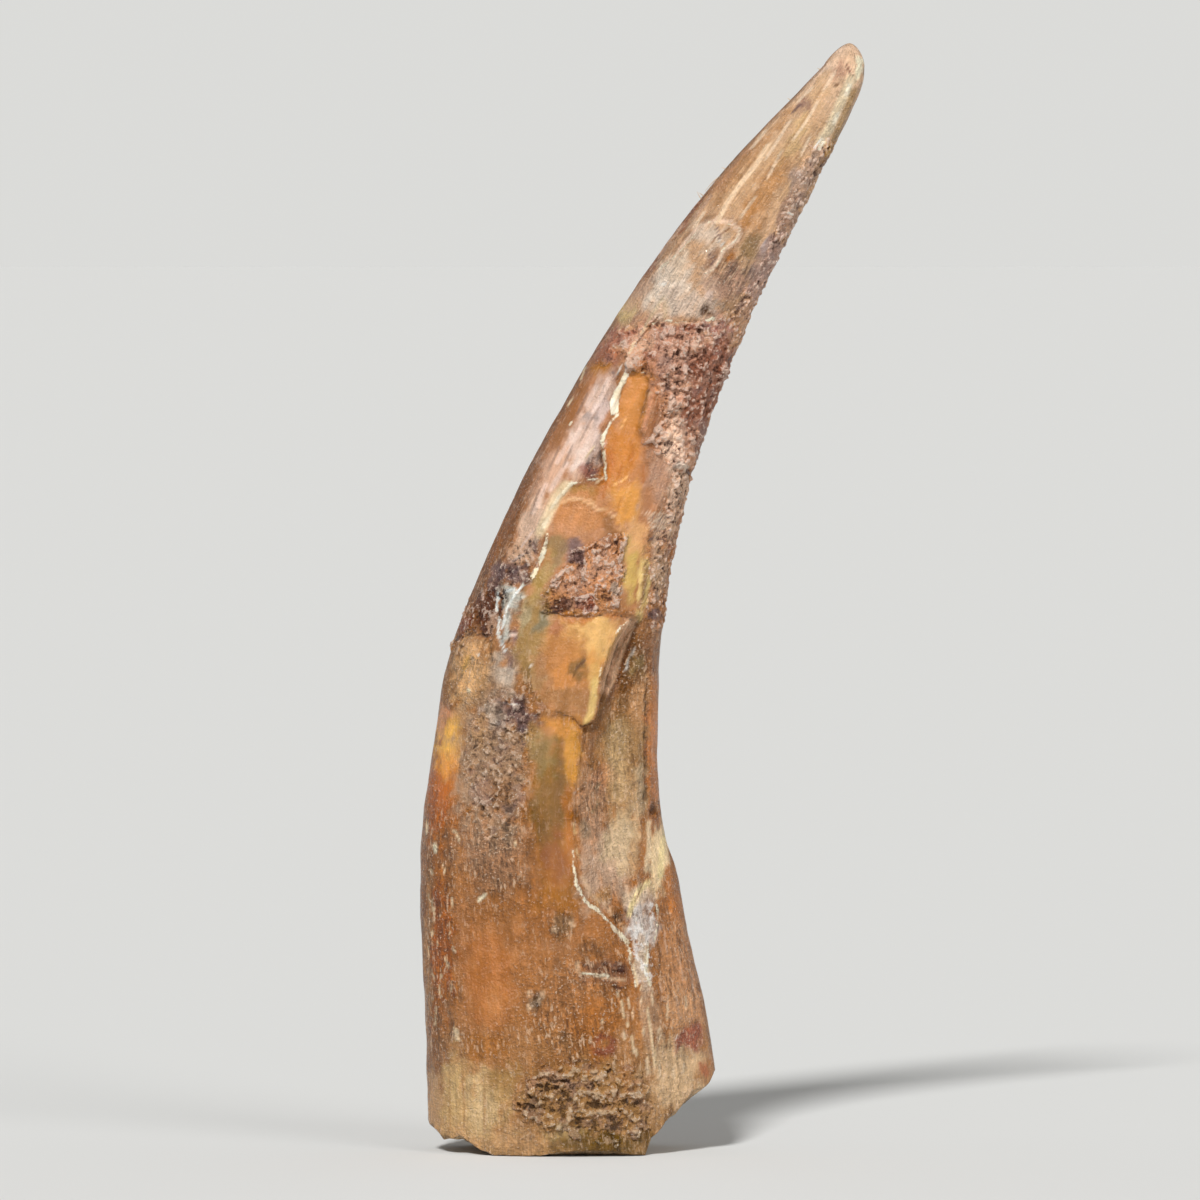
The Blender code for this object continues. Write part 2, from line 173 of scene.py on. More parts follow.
# Broken edges that show as pale lines, each (half width, points), and cracks that show dark, likewise. The dark
# lines along the groove and under the slab's lower edge are painted shade.
PALE_LINES = [
    (0.06, [(2.50, 28.30), (2.20, 27.75), (2.08, 27.30)]),
    (0.040, [(2.05, 26.61), (1.80, 26.35), (1.66, 26.05)]),
    (0.055, [(1.60, 25.95), (1.49, 25.70), (1.52, 25.50)]),
    (0.045, [(1.53, 25.40), (1.64, 24.85), (1.66, 24.30)]),
    (0.045, [(1.40, 24.28), (0.93, 24.26), (0.39, 24.13), (0.05, 23.75)]),
    (0.03, [(-0.47, 22.40), (-0.48, 22.10), (-0.58, 21.80)]),
    (0.055, [(-0.58, 21.80), (-0.75, 21.30), (-1.00, 20.82), (-1.30, 20.55)]),
    (0.022, [(2.48, 28.18), (2.80, 28.22), (3.12, 28.06)]),
    (0.018, [(2.60, 19.25), (2.20, 19.00), (2.02, 18.75)]), (0.016, [(1.55, 17.75), (1.42, 17.20)]),
    (0.035, [(0.46, 11.0), (0.48, 10.4), (0.56, 9.90)]),
    (0.062, [(0.56, 9.90), (0.92, 9.22), (1.38, 8.80), (1.87, 8.32), (2.44, 7.61)]),
    (0.015, [
        (3.59, 31.85), (4.27, 32.42), (4.63, 32.82), (4.92, 33.18), (5.03, 33.43), (5.42, 33.57),
        (5.85, 33.54),
    ]),
    (0.015, [(5.85, 33.54), (6.25, 33.50), (6.46, 33.29), (6.43, 33.03), (6.18, 32.75), (5.85, 32.57)]),
    (0.015, [(5.85, 32.57), (5.78, 32.21), (5.60, 31.89), (5.21, 31.67)]),
    (0.035, [(2.87, 29.84), (3.73, 29.95), (4.24, 29.95), (4.78, 29.87)]),
    (0.060, [(4.98, 29.85), (5.42, 30.02), (6.20, 30.05)]),
    (0.050, [(0.79, 6.62), (1.20, 6.55), (1.71, 6.48)]),
    (0.035, [(2.87, 8.30), (3.12, 7.60), (3.05, 6.60), (3.25, 6.10)]),
    (0.035, [(2.46, 7.40), (2.60, 6.70), (2.72, 6.10)]), (0.045, [(0.35, 26.25), (0.45, 26.40)]),
    (0.030, [(3.45, 9.0), (3.47, 8.3), (3.35, 7.7)]),
]
DARK_LINES = [
    (0.045, [(-4.06, 18.20), (-3.66, 18.56), (-3.23, 18.71), (-2.51, 18.64)]),
    (0.030, [(-2.51, 18.64), (-2.48, 17.77)]), (0.045, [(-2.12, 20.02), (-2.10, 19.68)]),
    (0.030, [(-1.93, 20.18), (-1.90, 19.92)]), (0.025, [(-2.12, 18.72), (-2.10, 18.40)]),
    (0.025, [(-0.61, 19.47), (0.61, 19.38), (1.44, 19.45), (2.08, 19.42), (2.76, 19.21)]),
    # The groove's dark line (GROOVE) is painted shade in it.
    (0.055, GROOVE), (0.030, [(2.06, 28.10), (2.02, 27.85)]), (0.030, [(1.42, 25.35), (1.52, 24.75)]),
    (0.018, [(3.27, 16.88), (3.18, 14.90), (3.14, 13.43), (3.16, 12.71)]),
    # The line under the slab's lower edge, from (1.20, 15.55), is the painted shadow of its step.
    (0.025, [(1.20, 15.55), (0.85, 15.42), (0.54, 15.74), (-0.14, 15.96)]),
    (0.022, [(-3.20, 13.43), (-2.94, 12.78), (-2.55, 12.14)]),
]

# Forms within the crusts, each (half width, rise or fall, points).
CRUST_LINES = {
    "veined": [
        (0.08, 0.8, [
            (-0.45, 20.35), (-0.20, 20.75), (0.10, 20.95), (0.50, 21.20), (0.95, 21.45), (1.30, 21.75),
        ]),
        (0.08, 0.9, [
            (1.30, 21.75), (1.65, 21.85), (1.90, 22.10), (2.15, 22.30), (2.42, 22.30), (2.32, 21.90),
        ]),
        (0.08, 0.8, [
            (2.32, 21.90), (2.20, 21.40), (2.30, 21.00), (2.25, 20.60), (2.12, 20.30), (2.05, 19.80),
        ]),
        (0.06, 0.7, [(1.65, 21.85), (1.72, 21.50), (1.65, 21.25), (1.90, 21.20), (2.12, 21.25)]),
        (0.05, 0.7, [(-0.40, 20.30), (-0.15, 20.60), (0.05, 20.85)]),
        (0.05, 0.7, [(-0.20, 20.30), (0.02, 20.62)]),
        (0.05, 0.7, [(0.15, 20.85), (0.45, 20.65), (0.70, 20.75), (0.90, 20.95), (0.95, 21.30)]),
        (0.04, 0.7, [(0.65, 20.60), (0.85, 20.75), (0.80, 20.95)]),
        (0.05, 0.6, [(0.30, 20.25), (0.60, 20.08)]),
        (0.05, 0.7, [
            (0.60, 20.05), (1.00, 20.15), (1.25, 20.30), (1.35, 20.48), (1.62, 20.46), (1.78, 20.30),
        ]),
        (0.06, 0.8, [
            (1.32, 20.40), (1.30, 20.05), (1.45, 19.80), (1.30, 19.65), (0.90, 19.55), (0.55, 19.45),
        ]),
        (0.05, 0.6, [(0.65, 21.90), (0.85, 21.72), (1.05, 21.88), (1.30, 22.10)]),
        (0.16, -0.7, [(-0.45, 19.75), (-0.10, 19.70), (0.30, 19.85)]),
        (0.10, -0.6, [(0.70, 19.78), (1.15, 19.80)]), (0.07, -0.6, [(0.15, 20.50), (0.55, 20.47)]),
        (0.12, -0.6, [(0.25, 21.30), (0.60, 21.55), (1.00, 21.75)]),
        (0.06, -0.5, [(1.55, 20.28), (1.65, 20.28)]), (0.06, -0.5, [(2.05, 22.00), (2.12, 21.60)]),
    ],
    "rusty": [
        (0.07, 0.9, [
            (4.00, 27.30), (3.85, 27.10), (3.95, 26.75), (3.90, 26.60), (3.60, 26.30), (3.45, 26.05),
        ]),
        (0.07, 0.9, [(3.45, 26.05), (3.30, 25.75), (3.16, 25.66), (3.45, 25.50)]),
        (0.06, 0.6, [(4.50, 29.50), (4.60, 29.20), (4.50, 28.80), (4.55, 28.40)]),
        # The short risers at (4.55, 27.45), (5.88, 28.35), (4.25, 24.9), (4.28, 24.25), (3.95, 23.1), (4.7,
        # 25.75), (4.95, 26.0) and (7.28, 32.85) stand where glints show: each is raised and painted pale as a
        # glint.
        (0.07, 1.0, [(4.55, 27.45), (4.60, 27.20)]), (0.10, 1.2, [(5.88, 28.35), (5.84, 28.00)]),
        (0.12, 1.1, [(4.25, 24.90), (4.42, 24.60)]), (0.06, 1.0, [(4.28, 24.25), (4.15, 24.05)]),
        (0.06, 0.8, [(3.95, 23.10), (4.05, 22.85)]), (0.07, 0.9, [(4.70, 25.75), (4.80, 25.60)]),
        (0.06, 0.9, [(4.95, 26.00), (5.05, 25.85)]), (0.07, 0.8, [(3.50, 21.50), (3.60, 21.35)]),
        (0.07, 0.8, [(3.30, 19.90), (3.40, 19.75)]), (0.10, 0.9, [(7.28, 32.85), (7.42, 32.68)]),
        (0.10, -0.7, [(4.20, 28.45), (4.32, 28.15), (4.20, 27.90)]),
        (0.08, -0.7, [(4.35, 29.45), (4.45, 29.20)]), (0.10, -0.8, [(4.60, 29.78), (4.95, 29.55)]),
        (0.10, -0.6, [(3.95, 28.00), (3.92, 27.50), (3.78, 27.25)]),
        (0.08, -0.6, [(5.15, 28.90), (5.32, 28.60)]), (0.10, -0.8, [(4.50, 24.70), (4.72, 24.48)]),
        (0.08, -0.5, [(4.30, 28.95), (4.18, 28.70)]), (0.12, -0.5, [(3.35, 19.30), (3.55, 19.20)]),
    ],
    "sand": [
        (0.10, 0.8, [(-0.70, 2.95), (-0.30, 3.08), (0.00, 2.90)]),
        (0.09, 0.8, [(0.30, 2.98), (0.70, 3.06), (1.30, 2.88)]),
        (0.10, 0.8, [(0.50, 2.10), (0.80, 2.30), (1.10, 2.30), (1.50, 2.15), (1.80, 2.00)]),
        (0.10, 0.9, [(0.60, 1.50), (0.90, 1.60), (1.30, 1.55), (1.60, 1.60), (2.10, 1.55), (2.60, 1.60)]),
        (0.09, 0.7, [(-0.70, 2.15), (-0.30, 2.20)]), (0.10, 0.9, [(0.00, 1.10), (0.30, 1.35)]),
        (0.10, 0.8, [(2.20, 2.30), (2.80, 2.20), (3.05, 2.00)]), (0.08, 0.7, [(-1.30, 1.45), (-0.90, 1.40)]),
        # The falls below run under the ridges above them: sunk, and painted dark as the shadow beneath each
        # ridge.
        (0.16, -0.9, [(-0.65, 2.48), (-0.25, 2.45)]),
        (0.13, -0.8, [(0.30, 2.62), (0.60, 2.50), (1.10, 2.55)]),
        (0.14, -0.9, [(-1.30, 1.80), (-1.05, 1.78)]),
        (0.12, -0.8, [(0.60, 1.80), (1.25, 1.85), (1.70, 1.78)]),
        (0.13, -0.8, [(2.00, 1.85), (2.40, 1.88), (2.70, 1.90)]), (0.10, -0.7, [(0.05, 2.65), (0.10, 2.50)]),
        (0.10, -0.6, [(-0.40, 1.75), (0.10, 1.80)]), (0.10, -0.6, [(1.80, 1.15), (2.20, 1.20)]),
    ],
}

# Single knobs of the crusts, each (x, height, radius).
CRUST_KNOBS = {
    "rusty": [
        (4.01, 29.72, 0.16), (4.40, 29.66, 0.14), (4.16, 29.36, 0.15), (4.52, 29.26, 0.16),
        (3.70, 29.45, 0.12), (4.02, 28.82, 0.17), (4.42, 28.80, 0.15), (3.66, 28.95, 0.11),
        (4.02, 28.36, 0.18), (4.50, 28.22, 0.17), (3.80, 28.02, 0.16), (4.24, 27.92, 0.15),
        (4.10, 27.60, 0.16), (3.66, 27.66, 0.14), (4.45, 27.55, 0.12), (4.88, 28.92, 0.30),
        (4.00, 27.16, 0.16), (3.84, 26.76, 0.15), (4.15, 26.80, 0.13), (4.42, 27.02, 0.16),
        (3.78, 26.32, 0.15), (4.14, 26.36, 0.15), (3.50, 25.70, 0.12), (3.74, 25.42, 0.15),
        (4.20, 25.80, 0.13), (4.34, 24.76, 0.20), (4.10, 25.30, 0.14), (4.55, 24.30, 0.13),
        (4.30, 23.90, 0.14), (5.20, 29.62, 0.13), (5.60, 29.80, 0.12), (4.90, 29.70, 0.14),
        (5.02, 28.30, 0.13), (5.86, 28.15, 0.14), (6.30, 30.20, 0.15), (6.75, 31.00, 0.14),
        (7.15, 32.00, 0.16), (7.45, 32.75, 0.18), (7.85, 33.40, 0.14), (8.25, 34.40, 0.16),
    ],
    "pebbled": [
        (-1.60, 16.05, 0.16), (-1.90, 15.80, 0.14), (-1.35, 15.70, 0.13), (-1.75, 15.45, 0.15),
        (-1.20, 15.30, 0.12), (-2.10, 15.20, 0.14), (-2.35, 15.60, 0.13), (-1.60, 14.95, 0.12),
        (-2.60, 14.60, 0.13), (-2.20, 14.30, 0.14), (-2.70, 13.80, 0.12), (-2.25, 13.50, 0.13),
        (-2.55, 13.05, 0.12), (-1.90, 13.00, 0.13), (-2.30, 12.55, 0.12),
    ],
}


def smooth_curve(points):
    """A smooth function through (position, value) points, held at its end values outside them."""
    place, value = np.array(points, float).T
    before = np.maximum(np.arange(len(place)) - 1, 0)
    after = np.minimum(np.arange(len(place)) + 1, len(place) - 1)
    slope = (value[after] - value[before]) / (place[after] - place[before])

    def at(position):
        position = np.clip(position, place[0], place[-1])
        i = np.clip(np.searchsorted(place, position) - 1, 0, len(place) - 2)
        span = place[i + 1] - place[i]
        t = (position - place[i]) / span
        hermite = (2 * t**3 - 3 * t**2 + 1) * value[i] + (3 * t**2 - 2 * t**3) * value[i + 1]
        return hermite + span * ((t**3 - 2 * t**2 + t) * slope[i] + (t**3 - t**2) * slope[i + 1])

    return at


def ramp(value, low, high):
    """0 below low, 1 above high, and a smooth step between."""
    t = np.clip((value - low) / (high - low), 0.0, 1.0)
    return t * t * (3 - 2 * t)


def distance_to_line(x, z, points):
    """The distance from each place to the nearest stretch of a line of (x, height) points."""
    nearest = np.full(np.shape(x), np.inf)
    for (ax, az), (bx, bz) in zip(points, points[1:]):
        along_x, along_z = bx - ax, bz - az
        share = ((x - ax) * along_x + (z - az) * along_z) / (along_x**2 + along_z**2)
        share = np.clip(share, 0.0, 1.0)
        nearest = np.minimum(nearest, np.hypot(x - ax - share * along_x, z - az - share * along_z))
    return nearest


def depth_inside(x, z, outline):
    """How far each place is inside an outline: negative outside it."""
    ring = outline + outline[:1]
    inside = np.zeros(np.shape(x), bool)
    for (ax, az), (bx, bz) in zip(ring, ring[1:]):
        if az != bz:
            crosses = ((az > z) != (bz > z)) & (x < ax + (bx - ax) * (z - az) / (bz - az))
            inside ^= crosses
    distance = distance_to_line(x, z, ring)
    return np.where(inside, distance, -distance)


def lumps(x, y, z, size, seed, octaves=3):
    """Rounded noise between about -1 and 1, with features about size across, or one size an axis."""
    places = np.stack(np.broadcast_arrays(x, y + seed, z), axis=-1).reshape(-1, 3) / size
    values = [noise.fractal(place, 0.8, 2.1, octaves) for place in places.tolist()]
    return np.array(values).reshape(np.shape(x)) * 1.3


def cobbles(x, y, z, size, seed):
    """Rounded grains packed about size apart: (0 between them to 1 on top, a number from 0 to 1 for each)."""
    places = np.stack(np.broadcast_arrays(x, y + seed, z), axis=-1).reshape(-1, 3) / size
    tops, numbers = [], []
    for place in places.tolist():
        distances, middles = noise.voronoi(place)
        tops.append(distances[0])
        numbers.append(noise.cell(middles[0] * 37.0))
    tops = 1 - np.clip(np.array(tops) / 0.75, 0.0, 1.0) ** 2
    return tops.reshape(np.shape(x)), np.array(numbers).reshape(np.shape(x))


convex_edge = smooth_curve(CONVEX_EDGE)
concave_edge = smooth_curve(CONCAVE_EDGE)
thickness_at = smooth_curve(THICKNESS)
keel_at = smooth_curve(KEEL)


def section(z):
    """(centre x, half width, centre y, half thickness) of the horizontal sections at some heights."""
    cap_start = HEIGHT - CAP_HEIGHT
    level = np.minimum(z, cap_start)
    left, right = convex_edge(level), concave_edge(level)
    centre, half = (left + right) / 2, (right - left) / 2
    into_cap = np.clip((z - cap_start) / CAP_HEIGHT, 0.0, 1.0)
    roundness = (1 - into_cap**1.2) ** 0.6
    centre = centre + (TIP_X - centre) * into_cap
    return centre, half * roundness, SIDEWAYS_LEAN * (z / HEIGHT) ** 2, thickness_at(level) / 2 * roundness


def plain_surface(z, angle):
    """Points of the unbroken tooth, at heights and at angles round its section."""
    centre_x, half, centre_y, half_thickness = section(z)
    keel = 1 - keel_at(z) * np.maximum(np.cos(angle), 0.0) ** 2
    return centre_x + half * np.cos(angle), centre_y + half_thickness * np.sin(angle) * keel


def break_height(x, y):
    """The height of the break across the root."""
    height = np.interp(x, *zip(*BREAK))
    rough = 0.22 * lumps(x, y, 0.0 * x, 1.1, 7.0) * ramp(height, 0.05, 0.6)
    fine = 0.05 * np.maximum(lumps(x, y, 0.0 * x, 0.35, 9.0), 0.0)
    across = np.maximum(0.0, 1 - ((x - FACE_CHIP_X) / FACE_CHIP_HALF) ** 2)
    face_y = plain_surface(0.0, -math.pi / 2)[1]
    face_chip = FACE_CHIP_RISE * across * ramp(face_y + FACE_CHIP_DEPTH - y, 0.0, FACE_CHIP_DEPTH)
    return np.maximum(height + rough, 0.0) + fine + face_chip


# Each mark's outline, and how ragged its edge is in millimetres. Those named back_ are on the other face.
MARKS = {
    "window": (WINDOW, 0.05),
    "stain_band": (STAIN_BAND, 0.15),
    "slab": (SLAB, 0.03),
    "panel": (SECOND_PANEL, 0.03),
    "scar": (LEDGE + SCAR_RIGHT_EDGE[1:-1], 0.02),
    "veined": (VEINED_CRUST, 0.16),
    "pebbled": (PEBBLED_PATCH, 0.25),
    "rusty": (RUSTY_CRUST, 0.14),
    "flaked": (DARK_FLAKED_ENAMEL, 0.30),
    "calcite": (CALCITE, 0.10),
    "sand": (SAND_CRUST, 0.40),
    "patch": (LEFT_PATCH, 0.10),
    "wedge": (CREAM_WEDGE, 0.01),
    "back_window": (BACK_LOST_ENAMEL, 0.12),
    "back_chip": (BACK_CHIP, 0.10),
    "back_sand": (BACK_SAND, 0.45),
    "back_rusty": (BACK_RUST, 0.40),
}


def jagged(x, y, z):
    return lumps(x, y, z, 0.45, 5.0, octaves=4)


def mark_depth(name, x, z, jag):
    """How deep each place lies inside a mark, in millimetres: negative outside it."""
    outline, raggedness = MARKS[name]
    return depth_inside(x, z, outline) + raggedness * jag


def line_depth(x, z, lines, uneven):
    """How deep each place lies inside the strokes, whose width comes and goes along them."""
    strokes = [width * (1 + 0.6 * uneven) - distance_to_line(x, z, line) for width, line in lines]
    return np.max(strokes, axis=0)


def marks_at(x, y, z, angle):
    """How deep each place lies inside each mark of its own face, and how far it is from each edge."""
    jag = jagged(x, y, z)
    on_back = np.sin(angle) > 0
    marks = {}
    for name in MARKS:
        shown = on_back if name.startswith("back_") else ~on_back
        marks[name] = np.where(shown, mark_depth(name, x, z, jag), -1.0)
    marks["ledge"] = distance_to_line(x, z, LEDGE) + 0.02 * jag
    marks["scar_right"] = distance_to_line(x, z, SCAR_RIGHT_EDGE) + 0.03 * jag
    marks["ridge"] = distance_to_line(x, z, ROOT_RIDGE)
    uneven = lumps(x, y, z, 0.55, 15.0)
    wander_x, wander_z = x + 0.04 * jag, z + 0.05 * jag
    pale = np.maximum(line_depth(wander_x, wander_z, PALE_LINES, uneven), marks["wedge"])
    back_edge = 0.03 * (0.6 + uneven) - np.minimum(np.abs(marks["back_window"]), np.abs(marks["back_chip"]))
    marks["pale"] = np.where(on_back, back_edge, pale)
    marks["dark"] = np.where(on_back, -1.0, line_depth(wander_x, wander_z, DARK_LINES, uneven))
    return marks


def scar_depth(x, y, z, marks):
    """How deep the chip scar lies: it drops from its ledge into a bowl, with a groove along the ledge."""
    wall = 0.10 + 0.38 * ramp(z, 15.4, 16.6)
    drop = (0.22 + 0.20 * ramp(z, 13.5, 16.0)) * ramp(marks["ledge"] / wall, -0.1, 1.0)
    drop *= 0.30 + 0.70 * ramp(marks["scar_right"], 0.0, 0.9)
    bowl = 0.34 * ramp(marks["scar"], 0.1, 1.1)
    floor = 0.03 * lumps(x, y, z, 0.5, 61.0) + 0.012 * lumps(x, y, z, 0.18, 62.0)
    top = ramp(z, 20.1, 18.9)
    scar = ramp(marks["scar"], -0.01, 0.01) * ((drop + bowl) * top - floor * ramp(marks["scar"], 0.0, 0.2))
    return scar + 0.16 * ramp(0.16 - distance_to_line(x, z, GROOVE), 0.0, 0.16) * top


def front_relief(x, y, z, marks):
    """How far the scarred face stands out from the plain tooth: negative where it is chipped away."""
    relief = -ENAMEL_STEP * ramp(marks["window"], -0.02, 0.05)
    relief -= 0.07 * ramp(marks["stain_band"], -0.1, 0.3)
    relief -= 0.06 * ramp(marks["slab"], -0.02, 0.05)
    relief -= 0.16 * ramp(marks["panel"], -0.02, 0.04) * ramp(z, 9.5, 14.0) * ramp(x, -0.75, 0.10)
    relief -= scar_depth(x, y, z, marks)

    relief += ramp(marks["patch"], -0.03, 0.08) * (0.03 + 0.05 * lumps(x, y, z, 0.34, 52.0))
    relief += 0.06 * ramp(marks["calcite"], -0.05, 0.2) * (0.6 + lumps(x, y, z, 0.25, 53.0))
    relief += 0.035 * ramp(marks["pale"], -0.06, 0.05)
    relief -= 0.10 * ramp(marks["dark"], -0.08, 0.02)
    relief -= 0.09 * ramp(0.22 - marks["ridge"], 0.0, 0.22)
    for pit_x, pit_z, radius, depth in PITS:
        relief -= depth * ramp(1.5 * radius - np.hypot(x - pit_x, z - pit_z), 0.0, radius)
    return relief


def back_relief(marks):
    """The same for the other face: its lost strip of enamel, and the chip at its root."""
    relief = -0.16 * ramp(marks["back_window"], -0.1, 0.2)
    relief -= 0.18 * ramp(marks["back_chip"], -0.05, 0.25) + 0.15 * ramp(marks["back_chip"], 0.1, 0.9)
    return relief


def side_points(z, angle, crust_height=None):
    """Points on the finished side of the tooth, and the marks that they lie in.

    Where crust_height is given, the points are those of a crust that stands so high on the tooth. The tooth
    itself is sunk a little where a crust covers it.
    """
    x, y = plain_surface(z, angle)
    half, half_thickness = section(z)[1::2]
    out_x = np.cos(angle) / np.maximum(half, 0.01)
    out_y = np.sin(angle) / np.maximum(half_thickness, 0.01)
    length = np.hypot(out_x, out_y)
    relief = 0.07 * half_thickness / (thickness_at(0.0) / 2) * lumps(x, y, z, 4.5, 3.0)
    marks = marks_at(x, y, z, angle)
    relief += ramp(-np.sin(angle), 0.02, 0.3) * front_relief(x, y, z, marks)
    relief += ramp(np.sin(angle), 0.02, 0.4) * back_relief(marks)
    relief += 0.012 * lumps(x, y, z, 0.8, 11.0)
    if crust_height is None:
        crusts = np.max([marks[name] for name in CRUSTS], axis=0)
        relief -= 0.08 * ramp(np.abs(np.sin(angle)), 0.02, 0.3) * ramp(crusts, 0.05, 0.25)
    else:
        relief += crust_height
    relief *= ramp(HEIGHT - z, 0.0, 1.5)
    return np.stack([x + out_x / length * relief, y + out_y / length * relief, z], axis=-1), marks


# --- Colours, as the eye reads them on a screen (sRGB) ---

IVORY, CREAM, WHITE = (0.98, 0.93, 0.80), (0.93, 0.83, 0.68), (0.95, 0.92, 0.88)
LILAC, GREY = (0.90, 0.79, 0.73), (0.68, 0.61, 0.55)
PINK, SALMON, TAN, DULL_TAN = (0.82, 0.66, 0.55), (0.80, 0.56, 0.41), (0.77, 0.60, 0.43), (0.67, 0.53, 0.40)
PALE_TAN, STRAW, YELLOW = (0.80, 0.67, 0.49), (0.90, 0.78, 0.52), (0.90, 0.70, 0.40)
AMBER, ORANGE = (0.85, 0.57, 0.29), (0.75, 0.47, 0.24)
KHAKI, GREEN_GREY = (0.64, 0.55, 0.38), (0.50, 0.46, 0.37)
BROWN, DEEP_BROWN, DARK = (0.60, 0.43, 0.30), (0.45, 0.31, 0.22), (0.27, 0.18, 0.14)
RUST, RED, PURPLE = (0.64, 0.41, 0.30), (0.53, 0.31, 0.26), (0.46, 0.37, 0.36)

# The sheen that the gloss adds to every colour, and how much light the colours are painted for.
SHEEN, EXPOSURE = 0.034, 1.05

# The root's half width and half thickness, round which the grain of the whole tooth is laid out.
ROOT_HALF, ROOT_HALF_THICKNESS = 5.0, 3.0

# The painted shade that deepens towards the two edges, where the surface turns away from the light, and how
# much of it shows on the convex and the concave one.
FLANK_SHADE, CONVEX_SHARE, CONCAVE_SHARE = (0.50, 0.32, 0.19), 0.60, 0.15

# How the plain surface is coloured up the tooth, as (height, colour).
BODY_COLOURS = [
    (0.0, (0.68, 0.53, 0.37)), (2.5, (0.67, 0.49, 0.33)), (5.0, (0.66, 0.45, 0.28)),
    (9.0, (0.66, 0.44, 0.27)), (14.0, (0.66, 0.46, 0.29)), (18.0, (0.66, 0.47, 0.32)),
    (22.0, (0.67, 0.47, 0.33)), (28.0, (0.66, 0.46, 0.33)), (31.0, (0.79, 0.63, 0.50)),
    (36.0, (0.80, 0.64, 0.49)), (39.0, (0.90, 0.75, 0.62)), (40.0, (0.94, 0.82, 0.73)),
]

